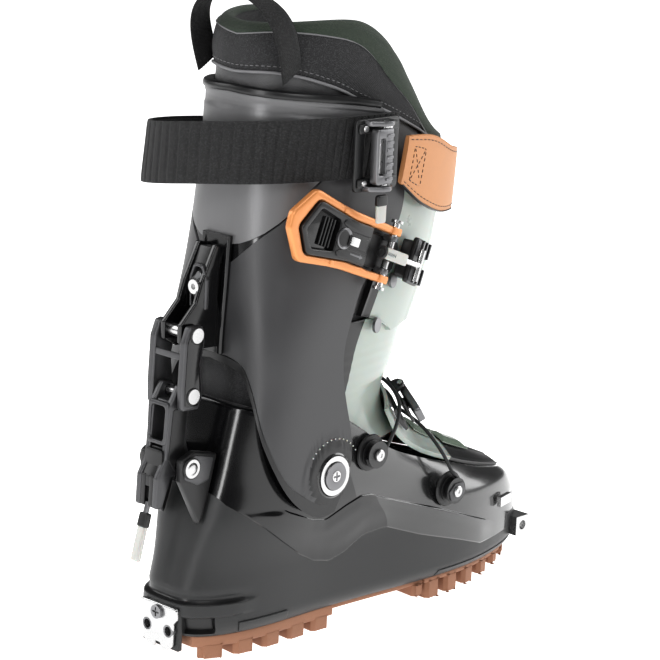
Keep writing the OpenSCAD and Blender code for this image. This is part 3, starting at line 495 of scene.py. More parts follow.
def plate(name, loops, h0, h1, place, mat, body, bevel=0.5, radius=0.0, replaces=(), slot=None):
    """A flat plate with holes and rounded edges, between heights h0 and h1 of a placement."""
    cu = bpy.data.curves.new(name, "CURVE")
    cu.dimensions = "2D"
    cu.fill_mode = "BOTH"
    bevel = min(bevel, (h1 - h0) / 2 * 0.9)
    cu.extrude = (h1 - h0) / 2 - bevel
    cu.bevel_depth = bevel
    cu.bevel_resolution = 2
    cu.offset = -bevel
    for loop in loops:
        pts = corners(loop, radius) if radius or any(len(p) > 2 for p in loop) else loop
        sp = cu.splines.new("POLY")
        sp.points.add(len(pts) - 1)
        for k, p in enumerate(pts):
            sp.points[k].co = (p[0], p[1], 0, 1)
        sp.use_cyclic_u = True
    tmp = bpy.data.objects.new(name + "_c", cu)
    bpy.context.scene.collection.objects.link(tmp)
    bpy.context.view_layer.update()
    me = bpy.data.meshes.new_from_object(tmp)
    bpy.data.objects.remove(tmp)
    bpy.data.curves.remove(cu)
    bm = bmesh.new()
    bm.from_mesh(me)
    bmesh.ops.remove_doubles(bm, verts=bm.verts, dist=0.002)
    bmesh.ops.transform(bm, matrix=Matrix.Scale(MM, 4) @ place @ Matrix.Translation((0, 0, (h0 + h1) / 2)),
                        verts=bm.verts)
    bmesh.ops.recalc_face_normals(bm, faces=bm.faces)
    bm.to_mesh(me)
    bm.free()
    me.name = name
    me.materials.clear()
    obj = bpy.data.objects.new(name, me)
    bpy.context.scene.collection.objects.link(obj)
    return finish_mesh(obj, mat, body, replaces)


def disc(r, n=40, at=(0, 0)):
    return [(at[0] + r * math.cos(2 * math.pi * k / n), at[1] + r * math.sin(2 * math.pi * k / n))
            for k in range(n)]


def rect(x0, y0, x1, y1):
    return [(x0, y0), (x1, y0), (x1, y1), (x0, y1)]


def lathe(name, profile, place, mat, body, n=48, replaces=(), closed=True):
    """A closed (radius, height) profile turned round the placement's Z."""
    rows = len(profile)
    verts, faces = [], []
    for k in range(n):
        t = 2 * math.pi * k / n
        for r, h in profile:
            verts.append(place @ Vector((r * math.cos(t), r * math.sin(t), h)))
    for k in range(n):
        e = (k + 1) % n
        for i in range(rows if closed else rows - 1):
            j = (i + 1) % rows
            faces.append((k * rows + i, e * rows + i, e * rows + j, k * rows + j))
    obj = mesh_object(name, verts, faces)
    bm = bmesh.new()
    bm.from_mesh(obj.data)
    bmesh.ops.remove_doubles(bm, verts=bm.verts, dist=1e-7)
    bmesh.ops.recalc_face_normals(bm, faces=bm.faces)
    bm.to_mesh(obj.data)
    bm.free()
    return finish_mesh(obj, mat, body, replaces)


def spline(points, per=6):
    """Catmull-Rom points through a route."""
    p = [Vector(q) for q in points]
    out = []
    for i in range(len(p) - 1):
        a, b, c, d = p[max(i - 1, 0)], p[i], p[i + 1], p[min(i + 2, len(p) - 1)]
        for k in range(per):
            t = k / per
            out.append(0.5 * (2 * b + (c - a) * t + (2 * a - 5 * b + 4 * c - d) * t * t
                              + (3 * b - a - 3 * c + d) * t**3))
    return out + [p[-1]]


def tube(name, points, r, mat, body, n=10, replaces=(), cyclic=False, squash=1.0, normal=None):
    pts = [Vector(p) for p in points]
    m = len(pts)
    verts, faces = [], []
    ref = Vector((0.3, 0.1, 1))
    for i in range(m):
        a = pts[(i - 1) % m] if cyclic else pts[max(i - 1, 0)]
        b = pts[(i + 1) % m] if cyclic else pts[min(i + 1, m - 1)]
        t = (b - a).normalized()
        u = (normal[i] if normal else ref).cross(t).normalized()
        v = t.cross(u)
        for k in range(n):
            w = 2 * math.pi * k / n
            verts.append(pts[i] + u * (r * math.cos(w)) + v * (r * squash * math.sin(w)))
    for i in range(m if cyclic else m - 1):
        j = (i + 1) % m
        for k in range(n):
            e = (k + 1) % n
            faces.append((i * n + k, i * n + e, j * n + e, j * n + k))
    if not cyclic:
        faces.append(tuple(range(n))[::-1])
        faces.append(tuple((m - 1) * n + k for k in range(n)))
    obj = mesh_object(name, verts, faces)
    return finish_mesh(obj, mat, body, replaces, angle=math.radians(60))


def rot(axis, deg):
    return Matrix.Rotation(math.radians(deg), 4, axis)


def trans(x, y, z):
    return Matrix.Translation((x, y, z))


def on_side(at, tilt=0):
    return trans(*at) @ rot("X", 90) @ rot("Z", tilt)


def bar_place(x, y, z, side=1):
    """Local Z runs along +Y for side 1 and along -Y for side -1."""
    return trans(x, y, z) @ rot("X", -90 if side > 0 else 90)


def recolour(nodes, mat, bevel=0.0):
    for name in nodes.split():
        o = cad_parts[name]
        o.data.materials.clear()
        o.data.materials.append(mat)
        if bevel:
            b = o.modifiers.new("edge", "BEVEL")
            b.width = bevel * MM
            b.segments = 2
            b.limit_method = "ANGLE"
            b.angle_limit = math.radians(35)
            b.harden_normals = True


def even_angles(n):
    """Ring angles that space a squarish ring evenly, from 0 to 360."""
    out = []
    for q in range(4):
        for k in range(n // 4):
            s = k / (n // 4)
            if q % 2:
                s = 1 - s
            f = (1 - s) * s**1.667 + s * (1 - (1 - s)**1.333)
            out.append(q * 90 + 90 * f if q % 2 == 0 else (q + 1) * 90 - 90 * f)
    return np.array(out)


# ------------------------------------------------------------ lower shell
BAND_LOW = [(-66, 97), (-62, 90), (-50, 81), (-30, 66), (-12, 53), (0, 46.5), (13, 43.5), (25, 46.5),
            (39, 54),
            (57, 55.5), (86, 45), (121, 34.5), (143, 27), (160, 27)]
BAND_TOP = [(-66, 118), (-60, 110), (-48, 101.5), (-42, 92), (-26, 82.5), (-6, 74), (5, 72), (19, 77.5),
            (31, 81),
            (41, 80), (53, 75), (102, 58.5), (154, 39), (160, 36)]
M_MATTE, M_GLOSS, M_SATIN, M_BLACK, M_BAND = range(5)


def shell_relief(a, x, z, row_zone):
    """Outward relief of the shell and its finish; row_zone is 0 below the band, 1 on it and 2 above it."""
    up, down = z - line(BAND_LOW, x), line(BAND_TOP, x) - z
    inband = np.minimum(up, down)
    f = fold(a)
    fade = smooth((160 - x) / 22) * smooth((x + 74) / 14)
    low_zone = smooth((86 - z) / 5)
    crown = 0.5 + 0.8 * smooth(up / 14) * smooth(down / 9)
    lift = 1.15 * step(inband + 0.05, 0.9) * crown * fade * low_zone
    mat = np.full(z.shape, M_MATTE)
    mat = np.where((row_zone == 1) & (f > BAND_END), M_GLOSS, mat)
    mat = np.where((row_zone == 1) & (f <= BAND_END) & (f > 36), M_BAND, mat)
    mat = np.where((row_zone == 2) & (f > 84), M_GLOSS, mat)
    mat = np.where((row_zone == 2) & (f <= 84), M_SATIN, mat)
    heel = smooth((f - 112) / 16)
    ledge = heel * (step(z - 25.5, 1.5) - step(z - 33.2, 1.4))
    lift = lift + 1.6 * ledge - 1.3 * heel * (step(z - 34.3, 0.9) - step(z - 36.6, 3.5))
    notch = ((f > 140) & (f < 166)) * 1.0
    lift = lift - 4 * notch * (step(z - 15.6, 0.6) - step(z - 25.0, 0.6))
    mat = np.where((notch > 0) & (z > 15.2) & (z < 25.4), M_BLACK, mat)
    mat = np.where((heel > 0.6) & (z > 33.4) & (z < 37.0), M_BLACK, mat)
    toe_cap = smooth((44 - f) / 6)
    lift = lift - 0.7 * toe_cap * (step(z - 45.5, 0.8) - step(z - 46.6, 0.8))
    return lift, mat


FIXED_ROWS = [0, .5, 1.0, 1.6, 2.2, 4, 6.5, 9, 11, 11.5, 12.2, 13, 14.5, 17, 18.5, 19.2, 19.7, 20.3, 20.9,
              21.6, 22.6,
              23.0, 23.6, 24.5, 26, 29, 32]
BAND_END = 79


def solve_line(cols, rows):
    """Height at which the side of the shell meets a line given in X and Z."""
    z = np.full_like(cols, 60.0)
    for _ in range(30):
        z = 0.5 * z + 0.5 * line(rows, shell_point(cols, z, 0)[..., 0])
    return z


def build_shell():
    cols = even_angles(420)
    z_low = 14.0
    edge = track(SHELL_EDGE, fold(cols)) - 0.9
    z_a = np.minimum(solve_line(cols, BAND_LOW), edge - 9)
    z_b = np.clip(solve_line(cols, BAND_TOP), z_a + 4, edge - 3)
    block = np.minimum((z_a - z_low) * 0.86, FIXED_ROWS[-1]) / FIXED_ROWS[-1]
    rows, zone = [], []

    def add(z, k):
        rows.append(z)
        zone.append(k)

    for h in FIXED_ROWS:
        add(z_low + h * block, 0)
    base = z_low + FIXED_ROWS[-1] * block
    for k in range(1, 12):
        add(base + (z_a - 0.25 - base) * k / 11, 0)
    for t in (0.0, 0.35, 0.7, 1.1):
        add(z_a + t, 1)
    span = z_b - z_a
    for k in range(1, 17):
        add(z_a + 1.1 + (span - 2.2) * k / 17, 1)
    for t in (1.1, 0.7, 0.35):
        add(z_b - t, 1)
    add(z_b, 2)
    for k in range(0, 20):
        add(z_b + 0.3 + (edge - z_b - 0.3) * k / 19, 2)
    zz = np.array(rows)
    aa = np.broadcast_to(cols, zz.shape)
    zn = np.broadcast_to(np.array(zone)[:, None], zz.shape)
    outer = shell_point(aa, zz, 0)
    lift, mat = shell_relief(aa, outer[..., 0], zz, zn)
    d = 0.3
    nrm = np.cross(shell_point(aa + d, zz, 0) - shell_point(aa - d, zz, 0),
                   shell_point(aa, zz + d, 0) - shell_point(aa, zz - d, 0))
    nrm /= np.linalg.norm(nrm, axis=-1, keepdims=True) + 1e-9
    outer = outer + nrm * lift[..., None]
    lip = []
    for k in range(1, 7):
        t = math.pi * k / 7
        lip.append(shell_point(cols, edge + 0.9 * math.sin(t), 1.75 * (1 - math.cos(t))))
    inner = []
    for k in range(24, -1, -1):
        inner.append(shell_point(cols, z_low + SHELL_WALL + (edge - z_low - SHELL_WALL) * k / 24, SHELL_WALL))
    outer = np.concatenate([outer, np.array(lip)])
    mats = np.concatenate([mat, np.tile(mat[-1], (6, 1))])
    n = len(cols)
    count = len(outer)
    inner = np.array(inner)
    verts = np.concatenate([outer.reshape(-1, 3), inner.reshape(-1, 3)])
    faces, fm = [], []
    total = count + len(inner)
    for r in range(total - 1):
        for c in range(n):
            e = (c + 1) % n
            faces.append((r * n + c, r * n + e, (r + 1) * n + e, (r + 1) * n + c))
            fm.append(int(mats[min(r, count - 1), c]) if r < count else M_BLACK)
    faces.append(tuple(range(n))[::-1])
    fm.append(M_BLACK)
    faces.append(tuple((total - 1) * n + c for c in range(n)))
    fm.append(M_BLACK)
    obj = mesh_object("shell_body", verts, faces)
    obj.data.polygons.foreach_set("material_index", fm)
    return finish_mesh(obj, [MATTE, GLOSS, GREY_SATIN, SATIN_BLACK, BAND_GREY], "lower", ("lower_shell",),
                       angle=math.radians(38))


build_shell()


def on_shell(name, columns, rows, lift, mat, body="lower"):
    """A thin raised plate lying on the shell: rows of (angle, height) pairs."""
    a, z = columns, rows
    outer = shell_point(a, z, -lift)
    inner = shell_point(a, z, 0.3)
    obj = solid_grid(name, outer, inner, False)
    return finish_mesh(obj, mat, body, bevel=0.5)


for side in (-1, 1):
    tag = "outer" if side < 0 else "inner"
    # heel rail that carries the rear of the sole block
    rail = np.linspace(98, 124, 30) * side
    heights = np.array([15.0, 17.5, 20, 21.5])
    aa, zz = np.meshgrid(rail, heights)
    on_shell("heel_rail_" + tag, aa, zz, 0.9, MATTE)
    rail = np.linspace(24, 66, 40) * side
    heights = np.array([15.0, 16.8, 18.6])
    aa, zz = np.meshgrid(rail, heights)
    on_shell("toe_rail_" + tag, aa, zz, 0.7, MATTE)

# ------------------------------------------------------------ sole and inserts


def sole_edge(x, side, inset):
    """Half width of the shell's bottom at x."""
    t = np.linspace(0, 180, 361)
    ring = shell_point(side * t, np.full_like(t, 14.0), 0)
    order = np.argsort(ring[:, 0])
    return np.abs(np.interp(x, ring[order, 0], ring[order, 1])) - inset


def tread(name, x0, x1, z0, z1, inset, mat, replaces=(), bevel=1.0):
    xs = [x0 + (x1 - x0) * (0.5 - 0.5 * math.cos(math.pi * k / 40)) for k in range(41)]
    outline = [(x, -max(sole_edge(x, -1, inset), 4)) for x in xs] + [(x,
            max(sole_edge(x, 1, inset), 4)) for x in xs[::-1]]
    return plate(name, [outline], z0, z1, Matrix.Identity(4), mat, "lower", bevel=bevel, replaces=replaces)


def lug_block(name, x, long, side, y_in, z0, z1, inset=0.6, cut=2.2):
    xs = [x - long / 2 + long * k / 6 for k in range(7)]
    outer = [(v, side * sole_edge(v, side, inset)) for v in xs]
    outer[0] = (outer[0][0] + cut, outer[0][1])
    outer[-1] = (outer[-1][0] - cut, outer[-1][1])
    pts = [(xs[0], side * (sole_edge(xs[0], side, inset) - cut))] + outer + \
          [(xs[-1], side * (sole_edge(xs[-1], side, inset) - cut)), (xs[-1] - 1, side * y_in),
           (xs[0] + 1, side * y_in)]
    return plate(name, [pts], z0, z1, IN_PLACE, GUM, "lower", bevel=1.1, radius=0.8)


def rocker(x):
    return 0.00095 * (x - 105)**2 if x > 105 else 0.0


tread("heel_pad", -76, 22, 7, 13.9, 1.0, GUM, ("heel_tread",))
tread("arch_pad", 22.2, 96.8, 10.2, 13.9, 2.5, GUM, ("arch_tread",), 0.8)
tread("forefoot_pad", 97, 190, 10.4, 13.9, 1.0, GUM, ("forefoot_tread",))
for s in (-1, 1):
    for k, x in enumerate((-66, -46, -26, -6, 13)):
        lug_block("heel_lug_%d_%d" % (s + 1, k), x, 13.5, s, 13.5 if k else 16, 0, 8.6)
    for k, x in enumerate((105, 122, 139, 156, 172, 185)):
        lug_block("fore_lug_%d_%d" % (s + 1, k), x, 12 - k * 0.5, s, 15, rocker(x + 5), 11.6)
    lug_block("arch_lug_%d" % (s + 1), 92, 8, s, 18, 3.5, 11)
for k, x in enumerate((-36, -12, 6)):
    plate("heel_mid_lug_%d" % k, [[(x - 8, -8, 2), (x + 8, -6, 2), (x + 8, 6, 2), (x - 8, 8, 2)]], 0, 8.4,
          IN_PLACE, GUM, "lower", bevel=1.0)
for k, x in enumerate((114, 131, 148, 165)):
    plate("fore_mid_lug_%d" % k, [[(x - 6, -9, 2), (x + 5, -11, 2), (x + 5, 11, 2), (x - 6, 9, 2)]],
          rocker(x + 5) , 11.4,
          IN_PLACE, GUM, "lower", bevel=1.0)
recolour("toe_insert toe_clips", STEEL, 0.6)
recolour("heel_insert_screws", DARK_STEEL, 0.3)
recolour("boot_board", WHITE)
recolour("link_pin frame_axle lock_pin frame_pin_caps lean_bolt pulley_brackets", STEEL, 0.35)
recolour("pulley_axles", STEEL, 0.3)
recolour("pulley_rear_outer pulley_front_outer pulley_rear_inner pulley_front_inner", BLACK_PART, 0.3)
recolour("pivot_bushes", BLACK_PART)
recolour("pivot_rings", STEEL, 0.25)
recolour("buckle_pin buckle_rod", STEEL, 0.3)
recolour("tongue_rivets", DARK_STEEL, 0.5)

HEEL = trans(-87.5, 0, 0) @ rot("Y", -90) @ rot("Z", -90)
plate("heel_plate", [[(-14.7, 25, 1), (-14.7, 31.8, 2), (14.7, 31.8, 2), (14.7, 25, 1), (12.4, 22, 2),
                      (12, 9, 2),
                      (7, 5.2, 1.5), (3, 5.2, 1), (2.2, 9, 1), (-2.2, 9, 1), (-3, 5.2, 1), (-7, 5.2, 1.5),
                      (-12, 9, 2),
                      (-12.4, 22, 2)], disc(2.6, at=(-8.5, 17.4)), disc(2.6, at=(8.5, 17.4)),
                      disc(2.2, at=(0, 27))],
      -2.6, 0.0, HEEL, STEEL, "lower", bevel=0.7, replaces=("heel_insert",))
plate("heel_recess", [[(-14.6, 6, 1), (-14.6, 31, 1), (14.6, 31, 1), (14.6, 6, 1)]], -5.6, -2.7, HEEL,
      SATIN_BLACK,
      "lower", bevel=0.4)
for s in (-1, 1):
    lathe("heel_socket_%d" % (s + 1), [(2.62, -5.5), (2.62, -0.1), (3.3, 0.15), (3.9, -0.1), (3.9, -5.5)],
          HEEL @ trans(s * 8.5, 17.4, 0), DARK_STEEL, "lower", n=32)

# ------------------------------------------------------------ cuff
PANEL_LOW = [(165, 231), (171, 231), (178, 231.5), (187, 233), (192.5, 234.5), (198, 237.5), (204.5, 242.5),
             (210.5, 248.5), (220, 264), (230, 276), (240, 290)]
SWEEP_LOW = [(180, 214), (186.5, 221.5), (190, 225), (193.5, 229), (201.5, 238.5), (209, 246.5), (212, 250.5),
             (221, 266), (231, 278), (241, 292)]
BORDER = [(0, 10), (75, 8), (95, 8), (115, 9), (128, 7), (140, 6), (152, 5), (180, 4)]
C_SIDE, C_PANEL, C_GLOSS, C_BORDER = range(4)


def cuff_relief(a, z, zone):
    """Outward relief of the cuff and its finish; zone is 0 border, 1 side, 2 black sweep, 3 upper panel."""
    f = fold(a)
    rear = step(f - 172.8, 0.8)
    lift = np.where(zone == 0, 0.55, 0.0)
    groove = np.where(zone == 2, 1.0, 0.0)
    lift = lift - 0.8 * groove
    lift = lift - 0.8 * rear * (zone == 1)
    mat = np.select([zone == 0, zone == 1, zone == 2], [C_BORDER, C_SIDE, C_GLOSS], C_PANEL)
    mat = np.where((f > 173.2) & (zone == 1), C_GLOSS, mat)
    x = cuff_point(a, z, 0)[..., 0]
    boss = np.hypot(x, z - PIVOT_Z)
    side = (f > 55) & (f < 125)
    lift = lift + np.where(side & (zone > 0), 0.5 * step(24 - boss, 1.2) + 0.8 * step(19.5 - boss, 1.5), 0)
    mat = np.where(side & (boss < 19.5) & (zone > 0), C_BORDER, mat)
    rim = track(CUFF_HIGH, f) - z
    lift = lift - 0.5 * step(9 - rim, 1) + 0.5 * step(3 - rim, 1)
    return lift, mat


def cuff_column(k, v, n):
    s = np.where(k <= n / 2, k / (n / 2), (n - k) / (n / 2))
    first = track(CUFF_OPEN, 82 + 220 * v)
    a = first + (180 - first) * s**0.92
    return np.where(k <= n / 2, a, 360 - a)


def cuff_rows(a):
    """Heights of the cuff's grid rows at angle a, kept on its panel edges, and the zone of each row."""
    f = fold(a)
    low, high = track(CUFF_LOW, f), track(CUFF_HIGH, f)
    border = low + line(BORDER, f)
    b = 360 - f
    sweep = np.clip(line(SWEEP_LOW, b), border + 6, high - 6)
    panel = np.clip(line(PANEL_LOW, b), sweep + 1.2, high - 4)
    rows, zone = [], []

    def block(z0, z1, n, k, tight=0.35):
        rows.append(z0)
        rows.append(z0 + tight)
        for i in range(1, n):
            rows.append(z0 + tight + (z1 - z0 - 2 * tight) * i / n)
        rows.append(z1 - tight)
        zone.extend([k] * (n + 2))

    block(low, border, 7, 0)
    block(border, sweep, 74, 1)
    block(sweep, panel, 10, 2, 0.2)
    block(panel, high, 56, 3)
    rows.append(high)
    zone.append(3)
    return np.array(rows), np.array(zone)


def build_cuff():
    n = 330
    a = cuff_column(np.arange(n + 1), 0.5, n)
    zone = cuff_rows(a)[1]
    a = np.stack([a] * len(zone))
    for _ in range(3):
        z = np.stack([cuff_rows(row)[0][r] for r, row in enumerate(a)])
        low, high = track(CUFF_LOW, fold(a)), track(CUFF_HIGH, fold(a))
        a = cuff_column(np.broadcast_to(np.arange(n + 1), z.shape), np.clip((z - low) / (high - low), 0, 1),
                        n)
    z = np.stack([cuff_rows(row)[0][r] for r, row in enumerate(a)])
    zz = np.broadcast_to(zone[:, None], z.shape)
    outer = cuff_point(a, z, 0)
    lift, mat = cuff_relief(a, z, zz)
    d = 0.3
    nrm = np.cross(cuff_point(a + d, z, 0) - cuff_point(a - d, z, 0),
                   cuff_point(a, z + d, 0) - cuff_point(a, z - d, 0))
    nrm /= np.linalg.norm(nrm, axis=-1, keepdims=True) + 1e-9
    outer = outer + nrm * lift[..., None]
    obj = solid_grid("cuff_body", outer, cuff_point(a, z, CUFF_WALL), False, mat[:-1, :-1])
    me = obj.data
    half = (len(z) - 1) * n
    idx = np.zeros(len(me.polygons), int)
    me.polygons.foreach_get("material_index", idx)
    idx[half:2 * half] = C_BORDER
    me.polygons.foreach_set("material_index", idx)
    return finish_mesh(obj, [CUFF_GREY, GRAPHITE, GLOSS, SATIN_BLACK], "cuff", ("cuff_shell",), bevel=0.6,
                       angle=math.radians(38))


build_cuff()


# thick rim round the top
ka = np.linspace(106, 254, 150)
top = track(CUFF_HIGH, fold(ka)) + 0.1
section = [(-0.9, 0.0), (-1.3, 0.8), (-1.35, 2.2), (-0.9, 3.6), (0.3, 4.3), (2.2, 4.4), (3.6, 3.9),
           (4.1, 2.8),
           (4.1, 0.0)]
outer = np.array([cuff_point(ka, top + h, i) for i, h in section])
inner = np.array([cuff_point(ka, top + 0.0 * h, 0.3 + 0.3 * k) for k, (i, h) in enumerate(section)])
rim = solid_grid("cuff_rim_bead", outer, inner, False)
finish_mesh(rim, SATIN_BLACK, "cuff", ("cuff_rim",))

# spine behind the lean plate, with two raised ribs
v = np.linspace(0, 1, 60)[:, None]
k = np.linspace(-8, 8, 70)[None, :]
width = 1.3 * (1 - 0.2 * v)
ang = 180 + width * k
zz = 172 + 66 * v + 0 * k
rib = 1.1 * (step(np.abs(k) - 5.2, 0.5) - step(np.abs(k) - 7.4, 0.5)) + 0 * v
outer = cuff_point(ang, zz, -2.2)
outer[..., 0] -= rib
spine = solid_grid("spine_plate", outer, cuff_point(ang, zz, -0.15), False)
finish_mesh(spine, GLOSS, "cuff", ("cuff_spine",), bevel=0.6)

# pivot: cap disc, ring and screw
for side in (-1, 1):
    tag = "outer" if side < 0 else "inner"
    at = bar_place(0, side * 41.2, PIVOT_Z, side)
    lathe("pivot_boss_" + tag, [(0, 5), (13.3, 5), (13.5, 6.4), (13.2, 7.1), (12.2, 7.6), (11.8, 7.2),
                                (11.6, 6.9),
                                (8.4, 6.9), (8.2, 6.6), (0, 6.6)], at, GREY_SATIN, "cuff", closed=False)
    lathe("pivot_disc_" + tag, [(0, 7.7), (7.6, 7.7), (8.1, 8.1), (8.2, 9.0), (7.9, 9.4), (3.6, 9.45),
                                (3.4, 9.2),
                                (0, 9.2)], at, DARK_STEEL, "cuff", closed=False)
    cross = [(-0.55, -2.5), (0.55, -2.5), (0.55, -0.55), (2.5, -0.55), (2.5, 0.55), (0.55, 0.55), (0.55, 2.5),
             (-0.55, 2.5), (-0.55, 0.55), (-2.5, 0.55), (-2.5, -0.55), (-0.55, -0.55)]
    plate("pivot_screw_" + tag, [disc(3.3), cross], 9.05, 9.6, at, STEEL, "cuff", bevel=0.12,
          replaces=("pivot_screws",) if side < 0 else ())
    # plain ticks over the pivot
    for k in range(13):
        t = math.radians(34 + k * 9)
        px, pz = 21.2 * math.cos(t), PIVOT_Z + 21.2 * math.sin(t)
        a0 = math.degrees(math.atan2(side * 46.9, px))
        base = cuff_point(np.array(a0), np.array(pz), 0)
        place = trans(px, float(base[1]) + side * 0.85, pz) @ rot("X", -90 if side > 0 else 90)
        lathe("pivot_tick_%s_%d" % (tag, k), [(0, -0.4), (0.42, -0.4), (0.42, 0.14), (0.3, 0.2), (0, 0.2)],
              place,
              WHITE, "cuff", n=10, closed=False)

# ------------------------------------------------------------ walk mechanism
LINK_FOOT, LINK_LEAN = (-81, 0, 113), 3.1
LINK = trans(*LINK_FOOT) @ rot("Y", LINK_LEAN)
ZX = rot("X", 90)


def xz_plate(name, loops, y, t, mat, body, base=Matrix.Identity(4), **kw):
    """A plate drawn in X and Z, from y to y + t."""
    return plate(name, loops, -y - t, -y, base @ ZX, mat, body, **kw)


for side in (-1, 1):
    tag = "outer" if side < 0 else "inner"
    y = 12 if side > 0 else -17
    xz_plate("clevis_" + tag, [[(-88, 106), (-88, 118), (-78, 122), (-61, 118), (-66, 99), (-70.8, 84),
                                (-73.4, 78)]], y, 5, BLACK_PART, "lower", radius=2.2, bevel=1.1,
             replaces=("link_bracket",) if side < 0 else ())
    face = y + 5 if side > 0 else y - 0.5
    xz_plate("clevis_face_" + tag, [[(-86, 107.5), (-86, 117), (-78, 120), (-64.5, 116.5), (-68, 104),
                                     (-76, 102.5)],
                                    disc(5.9, at=(-81, 113))], face, 0.5, PLATE_GREY, "lower", radius=1.5,
                                    bevel=0.2)
    lathe("link_ring_" + tag, [(5.7, 0), (6.2, 0.5), (6.1, 1.2), (5.4, 1.4), (4.0, 1.3), (4.0, 0)],
          bar_place(-81, side * 17.0, 113, side), BLACK_PART, "lower")
    lathe("link_dome_" + tag, [(0, 0.3), (4.2, 0.3), (4.2, 0.9), (3.6, 1.5), (2.2, 1.9), (0, 2.0)],
          bar_place(-81, side * 17.0, 113, side), STEEL, "lower", closed=False)

# lean bracket: side cheeks, grey arch frame, slot plate with its ringed bolt
for side in (-1, 1):
    tag = "outer" if side < 0 else "inner"
    xz_plate("lean_cheek_" + tag, [[(-52.5, 176), (-53, 190), (-56, 204), (-56, 218), (-51, 232), (-58, 234),
                                    (-68, 214), (-72, 203), (-83, 192), (-83, 182), (-74, 177)]],
             4.9 if side > 0 else -8.4, 3.5, GLOSS, "cuff", radius=1.6, bevel=0.8,
             replaces=("lean_bracket",) if side < 0 else ())
xz_plate("lean_web", [[(-52.5, 177), (-55, 195), (-63, 196), (-66, 214), (-58, 232), (-51, 231)]], -4.9, 9.8,
         SATIN_BLACK, "cuff", radius=1.2, bevel=0.4)
FRONTED = trans(-62.6, -2.4, 211) @ rot("Y", -90) @ rot("Z", -90)
ARCH = [(-6.4, -13, 1.5), (-6.9, 4, 3), (-3.2, 12.4, 3), (3.2, 12.4, 3), (6.9, 4, 3), (6.4, -13, 1.5)]
ARCH_IN = [(4.7, -12, 1), (5.2, 3.6, 2.5), (2.4, 10.4, 2.5), (-2.4, 10.4, 2.5), (-5.2, 3.6, 2.5),
           (-4.7, -12, 1)]
plate("arch_frame", [ARCH, ARCH_IN], 0.4, 3.6, FRONTED, PLATE_GREY, "cuff", bevel=0.8, radius=1)
OVAL = [(0, 9.6, 3), (4.3, 3.5, 4), (4.1, -6, 3), (0, -12.4, 2), (-4.1, -6, 3), (-4.3, 3.5, 4)]
plate("slot_plate", [OVAL, disc(2.9)], 0.5, 3.0, FRONTED, DARK_STEEL, "cuff", bevel=0.6, radius=2,
      replaces=("lean_slot_plate",))
lathe("bolt_ring", [(1.9, 3.4), (1.9, 6.6), (2.5, 6.9), (3.7, 6.6), (4.1, 5.9), (4.1, 3.2), (1.9, 3.2)],
      FRONTED,
      STEEL, "cuff")


# walk lever block: waist, slots and cheeks
WAIST = [(-6, -6), (6, -5), (6, 6), (3, 14), (4, 34), (4.6, 43.5), (-4.6, 45.5), (-10.6, 34), (-11.6, 4),
         (-16.6, -6),
         (-16.6, -23.4), (-11.4, -23.4)]
for side in (-1, 1):
    tag = "outer" if side < 0 else "inner"
    xz_plate("lever_cheek_" + tag, [WAIST, disc(2.55, at=(0, 40)), disc(3.6)], 4.7 if side > 0 else -8.6, 3.9,
             PLATE_GREY, "walk_link", base=LINK, radius=2, bevel=0.9,
             replaces=("walk_lever",) if side < 0 else ())
    xz_plate("lever_skin_" + tag, [[(-4.2, -3.6), (4, -3.2), (3.6, 4), (1.2, 12), (2, 33), (-8.2, 32),
                                    (-9.6, 4)],
                                   disc(4.6)], 8.6 if side > 0 else -9.0, 0.4, SATIN_BLACK, "walk_link",
             base=LINK, radius=1.6, bevel=0.15)
xz_plate("lever_core", [[(-5, -5), (1, -4), (0, 3), (-6, 11), (-10.4, 10), (-11.0, 4), (-16, -6), (-16, -12),
                         (-11, -12)], disc(0.6, 12, at=(-3, -1))], -4.7, 9.4, SATIN_BLACK, "walk_link",
         base=LINK, radius=1.2, bevel=0.6)
xz_plate("lever_bridge", [[(-9.4, 33.5), (3.4, 33.5), (3.8, 36.4), (-8.2, 36.4)]], -4.7, 9.4, PLATE_GREY,
         "walk_link", base=LINK, radius=1, bevel=0.6)
for side in (-1, 1):
    tag = "outer" if side < 0 else "inner"
    xz_plate("lever_foot_" + tag, [[(-16.4, -5), (-11.4, -5), (-10.9, -23), (-16.3, -23)]],
             1.6 if side > 0 else -4.8, 3.2, SATIN_BLACK, "walk_link", base=LINK, radius=1.2, bevel=0.6)
BACK = LINK @ rot("Y", -90) @ rot("Z", -90)
plate("lever_window", [[(-7.6, 11.5, 3), (7.6, 11.5, 3), (8.2, 36, 3), (-8.2, 36, 3)],
                       [(-5.2, 14, 2.5), (-5.6, 33.4, 2.5), (5.6, 33.4, 2.5), (5.2, 14, 2.5)]], 8.9, 11.9,
                       BACK,
      PLATE_GREY, "walk_link", bevel=0.9, radius=2)
plate("lever_panel", [[(-7.4, -22.6, 2), (7.4, -22.6, 2), (7.6, -7.4, 2), (6.6, 9, 2), (-6.6, 9, 2),
                       (-7.6, -7.4, 2)],
                      [(-1.2, -20, 1), (-1.2, -12, 1), (1.2, -12, 1), (1.2, -20, 1)]], 11.6, 13.0, BACK,
      SATIN_BLACK, "walk_link", bevel=0.5, radius=1)

# coil spring between the pins
turns, spring_pts = 11, []
for k in range(turns * 16 + 1):
    t = k / 16
    spring_pts.append(LINK @ Vector((1 + 1.55 * math.cos(2 * math.pi * t),
                                     -2.2 + 1.55 * math.sin(2 * math.pi * t),
                                     13.4 + 19.2 * t / turns)))
tube("coil_spring", spring_pts, 0.42, STEEL, "walk_link", n=8, replaces=("lock_spring",))

